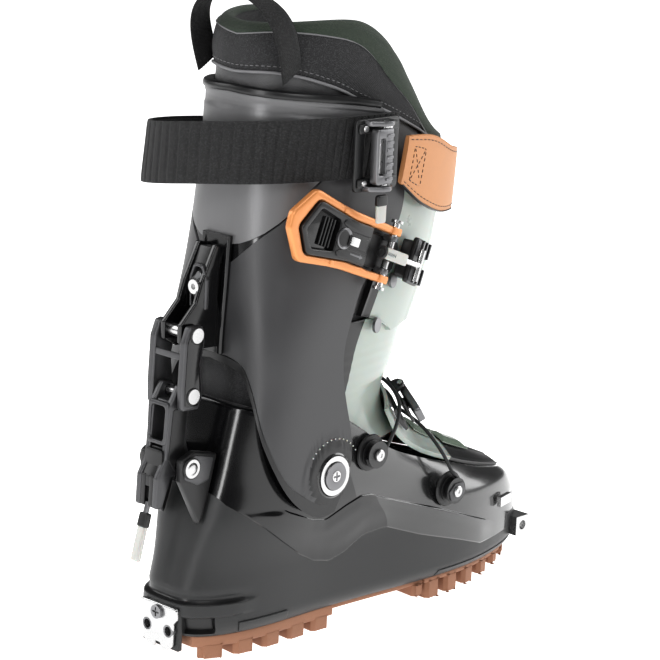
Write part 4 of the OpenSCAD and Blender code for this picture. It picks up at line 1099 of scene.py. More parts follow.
# side plates of the frame, with grey rims and black faces
PLATE_LINE = [(-7, 32), (5, 32), (8, 40), (5, 58), (7, 70), (5, 79), (-5, 79), (-8, 70), (-8, 44)]
PLATE_FACE = [(-5.4, 34.4), (4, 34.4), (6, 40), (3.2, 58), (5.2, 70), (3.8, 76.8), (-3.8, 76.8), (-6.2, 70),
              (-6.2, 44.6)]
for side in (-1, 1):
    tag = "outer" if side < 0 else "inner"
    y = 9.5 if side > 0 else -14.5
    xz_plate("frame_plate_" + tag, [PLATE_LINE, disc(2.42, at=(0, 74)), disc(2.42, at=(0, 40))], y, 5,
             PLATE_GREY,
             "lock_frame", base=LINK, radius=2.4, bevel=1.2, replaces=("lock_frame",) if side < 0 else ())
    xz_plate("frame_face_" + tag, [PLATE_FACE, disc(4.5, at=(0, 74)), disc(4.5, at=(0, 40))],
             14.5 if side > 0 else -14.9, 0.4, GLOSS, "lock_frame", base=LINK, radius=1.8, bevel=0.15)
    for h in (40, 74):
        place = LINK @ trans(0, 0, h) @ rot("X", -90 if side > 0 else 90)
        lathe("pin_ring_%s_%d" % (tag, h), [(4.25, 14.5), (4.9, 14.5), (4.9, 15.2), (4.6, 15.5),
                                            (4.25, 15.3)],
              place, BLACK_PART, "lock_frame", n=32)
xz_plate("frame_bar", [rect(-7.6, 60, -5.6, 63.5)], -9.5, 19, PLATE_GREY, "lock_frame", base=LINK, bevel=0.5,
         radius=0.6)

# pull tab of the lever
TAB = LINK @ trans(-15.6, 0, -26.5) @ rot("Y", 12)
TAB_BACK = TAB @ rot("Y", -90) @ rot("Z", -90)
plate("pull_tab", [[(-3, -28, 1.2), (3, -28, 1.2), (2.8, -6.5, 0.6), (-2.8, -6.5, 0.6)]], -1.5, 1.5,
      TAB_BACK, WHITE,
      "lever_tab", bevel=0.8, radius=1, replaces=("lever_tab",))
plate("pull_tab_neck", [[(-1.3, -3, 0.4), (1.3, -3, 0.4), (1.3, 6, 1.2), (-1.3, 6, 1.2)]], -1.2, 1.2,
      TAB_BACK,
      DARK_STEEL, "lever_tab", bevel=0.4)
plate("pull_tab_cap", [[(-3.4, -8.6, 1), (3.4, -8.6, 1), (3.2, -0.5, 1.2), (-3.2, -0.5, 1.2)]], -2, 2,
      TAB_BACK,
      BLACK_PART, "lever_tab", bevel=0.8, radius=1)


# ------------------------------------------------------------ liner
def rolled_ring(name, fn, low, high, t, mat, n=240, m=90, relief=None, body="cuff", replaces=()):
    """A foam wall: outer face, a rolled top and an inner face, from a surface fn(angle, z, inset)."""
    cols = np.linspace(0, 360, n, endpoint=False)
    lo, hi = low(cols), high(cols)
    rows = []
    for k in range(m):
        z = lo + (hi - t / 2 - lo) * k / (m - 1)
        off = relief(cols, z) if relief is not None else 0
        rows.append(fn(cols, z, -off))
    for k in range(1, 9):
        w = math.pi * k / 9
        rows.append(fn(cols, hi - t / 2 + t / 2 * math.sin(w), t / 2 * (1 - math.cos(w))))
    outer = np.array(rows)
    inner = []
    for k in range(len(rows)):
        z = lo + (hi - t / 2 - lo) * min(k / (len(rows) - 1), 1)
        inner.append(fn(cols, z, t))
    obj = solid_grid(name, outer, np.array(inner), True)
    return finish_mesh(obj, mat, body, replaces, angle=math.radians(60))


PIPE_LINE = [(0, 274), (25, 277), (47.5, 287), (62.5, 293.5), (88, 303), (117.5, 312.5), (137.5, 321.5),
             (158, 328),
             (180, 327)]


def upper_fn(a, z, inset):
    top = track(UPPER_EDGE, fold(a))
    shrink = np.clip((z - (top - 22)) / 22, 0, 1.3)**2 * 2.6
    return upper_point(a, z, inset + shrink)


def liner_low(a):
    """Lower edge of the liner shaft, cut round the pivot axis."""
    x = upper_point(a, np.full_like(a, 180.0), 0)[:, 0]
    out = np.full_like(a, 170.0)
    near = np.abs(x) < 90.5
    arc = PIVOT_Z + np.sqrt(np.maximum(90.9**2 - x**2, 0))
    return np.where(near, np.maximum(out, arc), out)


def wrinkle(a, z):
    return 0.35 * np.sin(np.radians(a) * 9 + z * 0.25) * np.sin(z * 0.11 + np.radians(a) * 3)


pipe = lambda a: track(PIPE_LINE, fold(a))
crest = lambda a: track(UPPER_EDGE, fold(a))
shaft = rolled_ring("liner_shaft", upper_fn, liner_low, lambda a: pipe(a) + 6, FOAM - 1.2, LINING,
                    relief=lambda a, z: wrinkle(a, z) - 0.4, replaces=("liner_upper",))


def pad_relief(a, z):
    lo, hi = pipe(a), crest(a)
    v = np.clip((z - lo) / (hi - lo), 0, 1)
    puff = 2.3 * np.sin(np.pi * np.clip(v * 0.9 + 0.08, 0, 1))**0.7
    return puff + 0.25 * wrinkle(a, z)


pad = rolled_ring("liner_pad", upper_fn, pipe, crest, FOAM, FABRIC, relief=pad_relief, m=60,
                  replaces=("liner_collar",))


def ring_line(name, z_of, off, r, mat, n=200, span=(0, 360), fn=upper_fn, body="cuff", squash=1.0):
    full = span[1] - span[0] >= 360
    cols = np.linspace(span[0], span[1], n, endpoint=not full)
    pts = fn(cols, z_of(cols), -off)
    return tube(name, [Vector(p) for p in pts], r, mat, body, n=8, cyclic=full, squash=squash)


ring_line("collar_piping", lambda a: pipe(a) - 0.2, 1.5, 0.85, PIPING)


def stitches(name, path, length, gap, r, mat, body):
    """Short thread stitches along a path of points."""
    pts = [Vector(p) for p in path]
    verts, faces = [], []
    dist = [0.0]
    for a, b in zip(pts, pts[1:]):
        dist.append(dist[-1] + (b - a).length)

    def at(s):
        i = min(int(np.searchsorted(dist, s, side="right")) - 1, len(pts) - 2)
        t = (s - dist[i]) / max(dist[i + 1] - dist[i], 1e-9)
        return pts[i].lerp(pts[i + 1], t), (pts[i + 1] - pts[i]).normalized()

    s = 0.0
    while s + length < dist[-1]:
        a, t = at(s)
        b, _ = at(s + length)
        u = t.cross(Vector((0.2, 0.1, 1))).normalized()
        w = t.cross(u)
        base = len(verts)
        rings = ((a, 0.35), (a.lerp(b, 0.2), 1), (a.lerp(b, 0.8), 1), (b, 0.35))
        for c, k in rings:
            for q in range(6):
                g = math.pi * q / 3
                verts.append(c + (u * math.cos(g) + w * math.sin(g)) * r * k)
        for i in range(3):
            for q in range(6):
                e = (q + 1) % 6
                faces.append((base + i * 6 + q, base + i * 6 + e, base + i * 6 + 6 + e, base + i * 6 + 6 + q))
        faces.append(tuple(base + q for q in range(6))[::-1])
        faces.append(tuple(base + 18 + q for q in range(6)))
        s += length + gap
    obj = mesh_object(name, verts, faces)
    return finish_mesh(obj, mat, body, angle=math.radians(60))


cols = np.linspace(0, 360, 260)
stitches("collar_stitch", upper_fn(cols, pipe(cols) + 3.2, -pad_relief(cols, pipe(cols) + 3.2) - 0.1), 2.2,
         1.2,
         0.22, PIPING, "cuff")

# olive band over the top of the collar
OLIVE_LOW = [(0, 278), (25, 280), (47.5, 287), (70, 306), (99, 325), (120, 342), (139.5, 348), (160, 350),
             (180, 347)]
olive_low = lambda a: np.minimum(track(OLIVE_LOW, fold(a)), crest(a) - 3.5)
ringc = np.linspace(0, 360, 240, endpoint=False)
rows_o, rows_i = [], []
for k in range(10):
    z = olive_low(ringc) + (crest(ringc) - FOAM / 2 - olive_low(ringc)) * k / 9
    rows_o.append(upper_fn(ringc, z, -pad_relief(ringc, z) - 0.45))
    rows_i.append(upper_fn(ringc, z, -pad_relief(ringc, z) + 0.3))
for k in range(1, 12):
    w = math.pi * k / 12
    grow = FOAM / 2 + 0.45
    rows_o.append(upper_fn(ringc, crest(ringc) - FOAM / 2 + grow * math.sin(w),
                           FOAM / 2 - grow * math.cos(w)))
    grow = FOAM / 2 - 0.3
    rows_i.append(upper_fn(ringc, crest(ringc) - FOAM / 2 + grow * math.sin(w),
                           FOAM / 2 - grow * math.cos(w)))
band = solid_grid("collar_band", np.array(rows_o), np.array(rows_i), True)
finish_mesh(band, OLIVE, "cuff", angle=math.radians(60))
ring_line("collar_seam", olive_low, 1.9, 0.4, PIPING)

# inner boot in the shell, footbed
cols_l = even_angles(160)
edge_l = track(SHELL_EDGE, fold(cols_l)) - 3
lo_i, base_i = SHELL_WALL + 1.2, 22.3
rows = [shell_point(cols_l, base_i + (edge_l - base_i) * k / 40, lo_i + 0.1) for k in range(41)]
rows += [shell_point(cols_l, edge_l + 2.4 * math.sin(math.pi * k / 8),
                     lo_i + 2.9 * (1 - math.cos(math.pi * k / 8)))
         for k in range(1, 8)]
inner_l = [shell_point(cols_l, base_i + 3 + (edge_l - base_i - 3) * k / 47, lo_i + 5.8) for k in range(48)]
foot = solid_grid("liner_boot", np.array(rows), np.array(inner_l), True)
finish_mesh(foot, FABRIC, "lower", ("liner_foot",), angle=math.radians(60))
recolour("footbed", FOOTBED, 0.8)

# pull loop of webbing
def loop_point(t, s, o):
    h = math.sin(math.pi * t)**0.6 if 0 < t < 1 else 0.0
    mid = (-30 - 12 * h, -1 - 32 * math.cos(math.pi * t) * (1 + 0.15 * h), 327 + 43 * h)
    sn, cs = math.sin(math.pi * t), math.cos(math.pi * t)
    return (mid[0] + s * 7.2 - 1.2 * o * sn, mid[1] - 1.6 * o * cs,
            mid[2] + s * 4.5 * (1 - sn) + 1.6 * o * sn)


ts = [0.5 - 0.5 * math.cos(math.pi * k / 110) for k in range(111)]
ss = np.linspace(-1, 1, 19)
thick = lambda s: 0.5 + 0.42 * (1 - abs(s)**6)
rib_s = lambda s: 0.10 * math.cos(s * 28)
outer = np.array([[loop_point(t, s, thick(s) + rib_s(s)) for s in ss] for t in ts])
inner = np.array([[loop_point(t, s, 1 - thick(s) - rib_s(s)) for s in ss] for t in ts])
loop = solid_grid("pull_loop_web", outer, inner, False)
finish_mesh(loop, WEBBING, "cuff", ("pull_loop",), angle=math.radians(60))

# ------------------------------------------------------------ shin tongue
SHIN_LOW = [(0, 178), (30, 177), (60, 170), (80, 158)]
va, ua = np.linspace(0, 1, 110), np.linspace(-75.6, 75.6, 150)
uu, vv = np.meshgrid(ua, va)
z0 = track(SHIN_LOW, np.abs(uu))
zz = z0 + (272 - z0) * vv
x0 = shin_point(uu, zz, 0)[..., 0]
arc = PIVOT_Z + np.sqrt(np.maximum(90.9**2 - x0**2, 0))
zz = np.where(np.abs(x0) < 90.5, np.maximum(zz, arc), zz)
ribs = 0.55 * (step(np.abs(uu) - 20, 2) - step(np.abs(uu) - 27, 2)) - 0.4 * (step(np.abs(uu) - 8,
        1.5) * (1 - step(np.abs(uu) - 17, 1.5)))
edge_b = 0.5 * (1 - step(75.6 - np.abs(uu), 3))
zr = 0.4 * step(6 - np.abs(zz - 262), 1.2)
# painted shade: the plate's outer side edges (|u| > 65) take satin black to stand in for the shadow gap
# beside the cuff's front edge
painted_shade_strip = np.where(np.abs(uu[:-1, :-1] + 0.5) > 65, 1, 0)
tongue = solid_grid("shin_plate", shin_point(uu, zz, -(ribs + edge_b) * 0.8 - zr * 0.5),
                    shin_point(uu, zz, 2.6),
                    False, painted_shade_strip)
finish_mesh(tongue, [MILKY, SATIN_BLACK], "cuff", ("shin_tongue",), bevel=0.6, angle=math.radians(40))

# ------------------------------------------------------------ instep
tt, uu = np.meshgrid(np.linspace(0, 1, 110), np.linspace(-1, 1, 70), indexing="ij")
bead = 0.5 * (1 - step(1 - np.abs(uu), 0.1)) + 0.35 * (step(np.abs(uu) - 0.28,
                                                            0.05) - step(np.abs(uu) - 0.42, 0.05))
front_part = np.where(tt[:-1, :-1] < 0.47, 1, 0)
tongue = solid_grid("instep_shell", instep_point(tt, uu, 2.3 + bead - 0.3 * (tt < 0.47)),
                    instep_point(tt, uu, 0),
                    False, front_part)
finish_mesh(tongue, [MILKY, SATIN_BLACK], "lower", ("instep_tongue",), bevel=0.5, angle=math.radians(40))
for i, (t0, t1) in enumerate(((0.26, 0.46), (0.53, 0.70))):
    tt, uu = np.meshgrid(np.linspace(t0, t1, 40), np.linspace(-0.615, 0.615, 60), indexing="ij")
    edge = np.minimum(np.minimum(tt - t0, t1 - tt) * 110, (0.615 - np.abs(uu)) * 28)
    lift = 3.4 + 1.5 * smooth(edge / 5)
    mid = 1.2 * (step(4.5 - np.abs(uu) * 20, 2))
    cell = solid_grid("instep_facet_%d" % i, instep_point(tt, uu, lift - mid * 0.4),
                      instep_point(tt, uu, 2.85), False)
    finish_mesh(cell, GREEN_EDGE, "lower", ("instep_plates",) if i == 0 else (), bevel=0.3)
tt, uu = np.meshgrid(np.linspace(0.82, 0.94, 24), np.linspace(-7 / 8, 6 / 8, 160), indexing="ij")
teeth = 0.45 * (np.abs(((uu * 14) % 1) - 0.5) * 2) * (np.abs(tt - 0.88) < 0.04)
strap = solid_grid("instep_ladder", instep_point(tt, uu, 5.5 + teeth), instep_point(tt, uu, 3.6), False)
finish_mesh(strap, BLACK_PART, "lower", ("instep_strap",), bevel=0.3)
IN = trans(82, -21.5, 123.6) @ rot("Y", 54) @ rot("X", 30)
plate("instep_base", [[(-9, -14, 3), (9, -14, 3), (9, 16, 3), (-9, 16, 3)], disc(2, at=(0, -10))], 0.6, 2.2,
      IN,
      BLACK_PART, "lower", bevel=0.5, radius=2, replaces=("instep_buckle_base",))
YZ = rot("Y", 90) @ rot("Z", 90)
for s in (-1, 1):
    x = 6.6 if s > 0 else -9.0
    plate("instep_ear_%d" % (s + 1), [[(-1, 1, 1), (10, 1, 1), (9, 6, 2.5), (5, 8.6, 2.5), (1, 7, 2.5)],
                                      disc(1.7, at=(4, 6))], x, x + 2.4, IN @ YZ, BLACK_PART, "lower",
          bevel=0.4, radius=1)
plate("instep_lever_body", [[(-5.2, -21, 3), (5.2, -21, 3), (6.2, -14, 2), (6.2, 6.4, 2), (-6.2, 6.4, 2),
                             (-6.2, -14, 2)], [(-3, -16, 1), (-3, -2, 1), (3, -2, 1), (3, -16, 1)]], 3.8,
                             8.2, IN,
      DARK_STEEL, "instep_lever", bevel=0.9, radius=1, replaces=("instep_lever",))
plate("instep_lever_pad", [[(-3, -16, 1), (3, -16, 1), (3, -2, 1), (-3, -2, 1)]], 4.4, 6.6, IN, BLACK_PART,
      "instep_lever", bevel=0.4, radius=1)
for k in range(5):
    plate("instep_lever_rib_%d" % k, [rect(-2.6, -14.6 + 2.4 * k, 2.6, -13.5 + 2.4 * k)], 6.5, 7.5, IN,
          BLACK_PART,
          "instep_lever", bevel=0.3)
lathe("instep_pin", [(0, -9.5), (1.6, -9.5), (1.6, 9.5), (0, 9.5)], IN @ trans(0, 4, 6) @ rot("Y", 90), STEEL,
      "instep_lever", n=24, closed=False)

# flexible throat of the tongue and neck of the liner, across the ankle
THROAT_FRONT = [(100, 97), (108, 93), (121, 78.5), (137, 74), (150, 79), (168, 85.5), (186, 90.5), (196, 92)]
THROAT_HALF = [(100, 33), (120, 36), (135, 37), (150, 39.5), (170, 41.5), (196, 44)]


def throat_point(a, z, inset):
    l = track(THROAT_FRONT, z) - track(CUFF_MID, z) - inset
    return oval(a, z, l, track(THROAT_HALF, z) - inset, 2.4)


uu, zz = np.meshgrid(np.linspace(-84, 84, 120), np.linspace(108, 186, 80))
zz = zz - 8 * (uu / 84)**2 * (186 - zz) / 78
pleat = 0.25 * np.sin((zz - 136) / 36 * 2 * math.pi * 3)**2 * smooth((zz - 136) / 6) * smooth((172 - zz) / 6)
# painted shade: the throat's outer side edges (|u| > 66) take satin black to stand in for the shadow gap
# beside the cuff's front edge
throat = solid_grid("tongue_throat", throat_point(uu, zz, -pleat * 0.6), throat_point(uu, zz, 1.8), False,
                    np.where(np.abs(uu[:-1, :-1] + 0.7) > 66, 1, 0))
for m in (MILKY, SATIN_BLACK):
    throat.data.materials.append(m)
throat.data.shade_smooth()
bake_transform(throat)
NECK_BACK = [(100, 54), (125, 50), (150, 47), (196, 46)]


def neck_point(a, z, inset):
    front = track(THROAT_FRONT, z) - track(CUFF_MID, z) - 3
    back = track(NECK_BACK, z) + track(CUFF_MID, z)
    l = np.where(np.cos(np.radians(a)) >= 0, front, back) - inset
    return oval(a, z, l, track(THROAT_HALF, z) - 3 - inset, 2.3)


ring = np.linspace(0, 360, 160, endpoint=False)
levels = np.linspace(104, 192, 70)
aa, zz = np.meshgrid(ring, levels)
puff = 0.8 * np.abs(np.sin((zz - 104) / 88 * math.pi * 4))**0.8
neck = solid_grid("liner_neck", neck_point(aa, zz, -puff), neck_point(aa, zz, 4.5), True)
neck.data.materials.append(FABRIC)
neck.data.shade_smooth()
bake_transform(neck)

# ------------------------------------------------------------ lace and pulleys
REAR_P, FRONT_P = (36, 41.6, 106), (107, 41, 70)
CABLE_REAR = [(29, -46.5, 104.6), (31.2, -46.5, 100.6), (36, -46.5, 98.7), (41, -46.5, 100.8),
              (44.5, -46.5, 107),
              (56, -44, 120), (66, -36, 129), (74, -20, 135.5), (78, 0, 138)]
CABLE_FRONT = [(113.4, -45.9, 66.4), (114.4, -45.9, 70.4), (112, -45.9, 75.4), (106, -45.4, 81),
               (101, -40, 94),
               (98, -28, 106), (96, -12, 113.5), (95.5, 0, 115)]


def cable(name, half, replaces=()):
    pts = spline(list(half) + [(x, -y, z) for x, y, z in half[-2::-1]], 5)
    cu = bpy.data.curves.new(name, "CURVE")
    cu.dimensions = "3D"
    cu.bevel_depth = 1.1 * MM
    cu.bevel_resolution = 3
    cu.use_fill_caps = True
    sp = cu.splines.new("POLY")
    sp.points.add(len(pts) - 1)
    for k, p in enumerate(pts):
        sp.points[k].co = (p[0] * MM, p[1] * MM, p[2] * MM, 1)
    cu.materials.append(CORD)
    o = bpy.data.objects.new(name, cu)
    bpy.context.scene.collection.objects.link(o)
    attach(o, "lower")
    if replaces:
        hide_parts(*replaces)


cable("cable_ankle", CABLE_REAR, ("lace_cable",))
cable("cable_instep", CABLE_FRONT)
for p, tag in ((REAR_P, "rear"), (FRONT_P, "front")):
    for s in (-1, 1):
        side = "outer" if s < 0 else "inner"
        at = bar_place(p[0], s * p[1], p[2], s)
        lathe("boss_%s_%s" % (tag, side), [(0, 0.2), (10.6, 0.2), (10.9, 0.9), (10.4, 1.8), (9.7, 2.05),
                                           (0, 2.05)],
              at, BLACK_PART, "lower", closed=False)
        pl = [(-10.5, -5.5, 2), (-3, -9.5, 3), (3, -9.5, 3), (10.5, -5.5, 2), (10.2, 4.5, 3), (0, 8.2, 4),
              (-10.2, 4.5, 3)] if tag == "front" else disc(5.6)
        guard = at @ rot("Z", -20 * s) if tag == "front" else at
        small = [(x * 0.62, y * 0.62, 1.5) for x, y, *_ in pl]
        plate("guard_%s_%s" % (tag, side), [small, disc(2.1)], 7.45, 8.3, guard,
              PLATE_GREY if tag == "front" else SATIN_BLACK, "lower", bevel=0.3)
        lathe("axle_cap_%s_%s" % (tag, side), [(1.1, 8.3), (3.4, 8.3), (3.3, 9.2), (2.6, 9.6), (1.3, 9.5),
                                               (1.1, 9.0)],
              at, STEEL, "lower", n=32)

# ------------------------------------------------------------ top strap
STRAP_HALF = [(-86, 13), (-62, 19), (-30, 17.5), (20, 15), (98, 15)]


def strap_wall(name, a0, a1, n, half, shift, lift, t, mat, relief, body="cuff", replaces=(), m=26, bevel=0.0):
    aa, hh = np.meshgrid(np.linspace(a0, a1, n), np.linspace(-1, 1, m))
    gap = lift(aa)
    soft = 0.45 * np.abs(hh)**8
    r = relief(aa, hh)
    wide = track(STRAP_HALF, aa) if half is None else half
    outer = strap_point(aa, hh * wide + shift, gap + t - soft + r)
    inner = strap_point(aa, hh * wide + shift, gap + soft)
    obj = solid_grid(name, outer, inner, False)
    return finish_mesh(obj, mat, body, replaces, bevel=bevel, angle=math.radians(50))


def rib_wave(a, h):
    return -0.55 * (0.5 + 0.5 * np.cos(np.radians(a - 100) * 2 * math.pi * 15.2))**4 * (np.abs(h) < 0.97)


strap_wall("strap_ribbed", 100, 266, 900, STRAP_W / 2, 0, lambda a: 0.6 + track(REAR_GAP, a), STRAP_T - 0.2,
           WEBBING,
           rib_wave, replaces=("strap_rear",), m=20)
strap_wall("strap_hook_layer", 104, 240, 300, STRAP_W / 2 - 1.5, 0, lambda a: 0.2 + track(REAR_GAP, a), 0.6,
           FABRIC,
           lambda a, h: 0 * a, m=10)
strap_wall("strap_tan", -86, 98, 300, None, -1, lambda a: 4 + 0 * a, STRAP_T - 0.1, LEATHER,
           lambda a, h: -0.25 * (np.abs(np.abs(h) - 0.86) < 0.035), replaces=("strap_front",), m=44)
for s in (-1, 1):
    aa = np.linspace(-84, 95, 250)
    path = strap_point(aa, s * 0.86 * track(STRAP_HALF, aa) - 1, 4 + STRAP_T - 0.25)
    stitches("strap_edge_stitch_%d" % (s + 1), path, 2.4, 1.4, 0.24, THREAD, "cuff")
    path = strap_point(aa, s * (track(STRAP_HALF, aa) - 0.1) - 1, 4 + STRAP_T / 2)
    tube("strap_edge_%d" % (s + 1), [Vector(p) for p in path], 1.45, SATIN_BLACK if s < 0 else LEATHER,
         "cuff", n=8,
         squash=0.45)
box_x = [(-80, -10), (-80, 9), (-70, 10), (-70, -11), (-80, -10), (-70, 10), (-80, 9), (-70, -11)]
path = []
for (a0, h0), (a1, h1) in zip(box_x, box_x[1:]):
    for k in range(10):
        t = k / 10
        path.append(strap_point(np.array(a0 + (a1 - a0) * t), np.array(h0 + (h1 - h0) * t - 1),
                                4 + STRAP_T - 0.05))
stitches("strap_box_stitch", path, 2.0, 1.2, 0.28, THREAD, "cuff")

# cam buckle of the strap
SB = on_side((10, -61, 285))
plate("strap_frame", [[(-17, -20, 3), (17, -20, 3), (17, 20, 3), (-17, 20, 3)],
                      [(-10, -12, 2), (-10, 12, 2), (10, 12, 2), (10, -12, 2)]], -2, 0.4, SB, SATIN_BLACK,
                      "cuff",
      bevel=0.6, radius=2, replaces=("strap_buckle",))
for s in (-1, 1):
    y = 16.6 if s > 0 else -19.4
    xz = SB @ rot("X", 90)
    plate("strap_ear_%d" % (s + 1), [[(-11, -0.4, 1), (7, -0.4, 1), (6.4, 7, 3), (1.5, 10.2, 3),
                                      (-4, 9.6, 3), (-10, 5, 3)],
                                     disc(2.1, at=(0, 6))], -y - 2.9, -y, xz, DARK_STEEL, "cuff", bevel=0.6,
          radius=1.5)
    plate("strap_bar_%d" % (s + 1), [rect(-15.6, s * 15 - 2.6, 15.6, s * 15 + 2.6)], 0.2, 1.8, SB,
          BLACK_PART, "cuff",
          bevel=0.6, radius=1.6)
    for k in (0, 2):
        lathe("strap_rivet_%d_%d" % (s + 1, k), [(0, 1.6), (1.9, 1.6), (1.6, 2.5), (0, 2.7)],
              SB @ trans(-11 + 9.5 * k, s * 15, 0), STEEL, "cuff", n=20, closed=False)
plate("cam_body", [[(-9, -15.4, 2.5), (3.6, -15.4, 1.5), (3.6, 15.4, 1.5), (-9, 15.4, 2.5)],
                   [(-7, -10, 1.5), (-7, 10, 1.5), (-2.4, 10, 1.5), (-2.4, -10, 1.5)]], 3.4, 9.2, SB,
                   DARK_STEEL,
      "strap_cam", bevel=0.9, radius=1.5, replaces=("strap_cam",))
plate("cam_pad", [[(-7, -10, 1.5), (-2.4, -10, 1.5), (-2.4, 10, 1.5), (-7, 10, 1.5)]], 4.2, 6.8, SB, STEEL,
      "strap_cam", bevel=0.3, radius=1)
for k in range(7):
    plate("cam_tooth_%d" % k, [rect(-1.6, -13.2 + 4 * k, 3.2, -11.6 + 4 * k)], 9.0, 9.9, SB, DARK_STEEL,
          "strap_cam",
          bevel=0.3)
lathe("cam_axle", [(0, -19.6), (2, -19.6), (2, 19.6), (0, 19.6)], SB @ trans(0, 0, 6) @ rot("X", -90), STEEL,
      "strap_cam", n=28, closed=False)
plate("cam_tab", [[(-6, -37, 1.6), (1.2, -37, 1.6), (1.4, -23, 1), (-6.2, -23, 1)]], 6.3, 8.1, SB, WHITE,
      "strap_tab", bevel=0.6, radius=1, replaces=("strap_tab",))
plate("cam_tab_cap", [[(-6.6, -27.4, 1.4), (1.6, -27.4, 1.4), (1.4, -21.2, 1.8), (-6.4, -21.2, 1.8)]], 5.8,
      8.7, SB,
      BLACK_PART, "strap_tab", bevel=0.8, radius=1)

# ------------------------------------------------------------ cuff buckle
BK = on_side((26, -58, 226), -21)
plate("buckle_plate", [[(-46, -9.6, 3), (10, -9.6, 3), (12, -6, 2), (12, 6, 2), (10, 9.6, 3), (-46, 9.6, 3)]],
      -6.7, -4.1, BK, BLACK_PART, "cuff", bevel=0.8, radius=2, replaces=("buckle_base",))
for s in (-1, 1):
    y0 = s * 9.4 - 1.5
    plate("buckle_ear_%d" % (s + 1), [[(-3.8, -4.2, 0.6), (3.8, -4.2, 0.6), (3.4, 1, 2.5), (0.6, 3, 2.5),
                                       (-2.6, 2, 2.5)],
                                      disc(2.05)], -y0 - 3.0, -y0, BK @ rot("X", 90), DARK_STEEL, "cuff",
          bevel=0.4, radius=1)
FRAME_OUT = [(4, -16, 1.5), (4, -11.6, 1), (-8, -11.6, 1.5), (-14, -11.9, 2), (-18, -11.5, 1),
             (-34, -11.5, 4),
             (-67, -15.5, 5), (-77, -2, 4), (-67, 15.5, 5), (-34, 11.5, 4), (-18, 11.5, 1), (-14, 11.9, 2),
             (-8, 11.6, 1.5), (4, 11.6, 1), (4, 16, 1.5), (-12, 16.2, 4), (-34, 16.5, 6), (-46, 17.4, 4),
             (-70, 20.5, 6), (-84, 4, 5), (-83, -5, 5), (-70, -20.5, 6), (-46, -17.4, 4), (-34, -16.5, 6),
             (-12, -16.2, 4)]
plate("lever_hoop", [FRAME_OUT], -3.4, 1.4, BK, ORANGE, "buckle_lever", bevel=1.25,
      replaces=("buckle_lever",))
for s in (-1, 1):
    plate("hoop_bridge_%d" % (s + 1), [rect(-46, s * 14.7 - 1.4, -42.5, s * 14.7 + 1.4)], 0.9, 1.9, BK,
          ORANGE,
          "buckle_lever", bevel=0.4, radius=0.8)
    plate("hoop_end_%d" % (s + 1), [rect(-3.4, s * 13.8 - 2.3, 4.2, s * 13.8 + 2.3)], -3.0, 2.1, BK, ORANGE,
          "buckle_lever", bevel=0.8, radius=1)
INSERT_OUT = [(-20, -11.2, 1), (-34, -11.2, 4), (-66.6, -15.1, 5), (-76.2, -2, 4), (-66.6, 15.1, 5),
              (-34, 11.2, 4),
              (-20, 11.2, 1)]
INSERT_HOLE = [(-47, -8.6, 2), (-64.4, -11.4, 3), (-72.0, -2, 2.5), (-64.4, 11.4, 3), (-47, 8.6, 2)]
plate("insert_frame", [INSERT_OUT, INSERT_HOLE], -1.6, 3.0, BK, SATIN_BLACK, "buckle_lever", bevel=0.8,
      replaces=("buckle_insert",))
plate("insert_floor", [[(-46, -9.4, 2), (-64.8, -12, 3), (-73, -2, 2.5), (-64.8, 12, 3), (-46, 9.4, 2)]],
      -1.5, -0.3,
      BK, GLOSS, "buckle_lever", bevel=0.3)
for s in (-1, 1):
    plate("insert_rail_%d" % (s + 1), [[(-21, s * 4.9, 1), (-21, s * 10.4, 1), (-44, s * 10.4, 2),
                                        (-46, s * 7.6, 2),
                                        (-38, s * 4.9, 2)]], 2.4, 3.7, BK, BLACK_PART, "buckle_lever",
                                        bevel=0.5)
for k in range(4):
    plate("insert_rib_%d" % k, [rect(-51.0 - 2.6 * k, -8, -49.8 - 2.6 * k, 8)], -0.5, 1.2, BK, SATIN_BLACK,
          "buckle_lever", bevel=0.35, radius=0.4)
plate("insert_arrow", [[(-34.5, -7.4, 0.2), (-26.5, -7.4, 0.2), (-26.5, -8.2, 0.2), (-23.6, -6.9, 0.2),
                        (-26.5, -5.6, 0.2), (-26.5, -6.5, 0.2), (-34.5, -6.5, 0.2)]], 3.5, 3.9, BK,
                        DARK_STEEL,
      "buckle_lever", bevel=0.1)
lathe("insert_cup", [(0, 2.6), (3.9, 2.6), (4.6, 3.4), (5.4, 3.9), (5.9, 3.6), (6.0, 2.2), (0, 2.2)],
      BK @ trans(-41.5, 0, 0), DARK_STEEL, "buckle_lever", closed=False)
plate("insert_slide", [rect(-38, -3.6, -22, 3.6)], 2.2, 3.9, BK, BLACK_PART, "buckle_lever", bevel=0.5,
      radius=1)
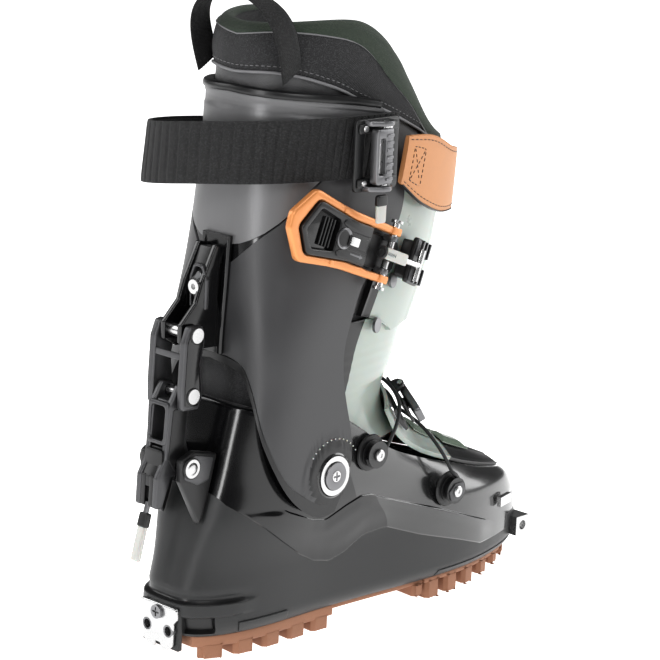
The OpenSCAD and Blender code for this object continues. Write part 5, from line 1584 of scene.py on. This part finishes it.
plate("insert_slide_pad", [rect(-37, -2.4, -30, 2.4)], 3.8, 4.6, BK, STEEL, "buckle_lever", bevel=0.35,
      radius=0.8)
ROD = BK @ trans(-12, 0, 5.6) @ rot("Y", 90)
ribs = []
for k in range(48):
    ribs.append((3.8 - 0.35 * (k % 2), 7.5 * k / 48))
prof = [(1.86, 0), (3.2, 0), (3.8, 0.7)] + [(3.8 - (0.35 if j % 2 else 0), 1 + 0.5 * j) for j in range(14)] \
    + [(3.8, 8.3), (3.2, 9), (1.86, 9)]
lathe("barrel_knurl", prof, ROD, BLACK_PART, "buckle_barrel", replaces=("buckle_barrel",), n=40)
plate("barrel_tab", [rect(1, -3.3, 19, 3.3)], 1.9, 3.6, BK @ trans(-12, 0, 5.6), WHITE, "buckle_rod",
      bevel=0.5,
      radius=1.2)

# toothed ladder that the rod hooks on
LD = on_side((53, -57.4, 218), -21) @ rot("Y", 24)
plate("ladder_base", [[(-6, -11, 2), (8, -11, 2), (8, 11, 2), (-6, 11, 2)]], -10.8, -4.2, LD, BLACK_PART,
      "cuff",
      bevel=0.8, radius=2, replaces=("buckle_ladder",))
plate("ladder_plate", [[(-9, -13, 2.5), (13, -13, 2.5), (13, 13, 2.5), (-9, 13, 2.5)]], -4.2, -1.2, LD,
      BLACK_PART,
      "cuff", bevel=0.8, radius=2)
for k in range(3):
    x = -7 + 7 * k
    for s in (-1, 1):
        plate("ladder_hook_%d_%d" % (k, s + 1), [[(x - 0.6, -1.4, 0.3), (x + 3.4, -1.4, 0.3),
                                                  (x + 2.4, 2.2, 0.8),
                                                  (x - 0.9, 2.6, 0.8), (x + 0.4, 0.4, 0.5)]],
              -s * 7.6 - 4.6, -s * 7.6 + 4.6, LD @ rot("X", 90), DARK_STEEL, "cuff", bevel=0.4)

# ------------------------------------------------------------ floor
bm = bmesh.new()
bmesh.ops.create_grid(bm, x_segments=2, y_segments=2, size=6)
floor_mesh = bpy.data.meshes.new("floor")
bm.to_mesh(floor_mesh)
bm.free()
floor_mesh.materials.append(FLOOR)
floor = bpy.data.objects.new("floor", floor_mesh)
bpy.context.scene.collection.objects.link(floor)
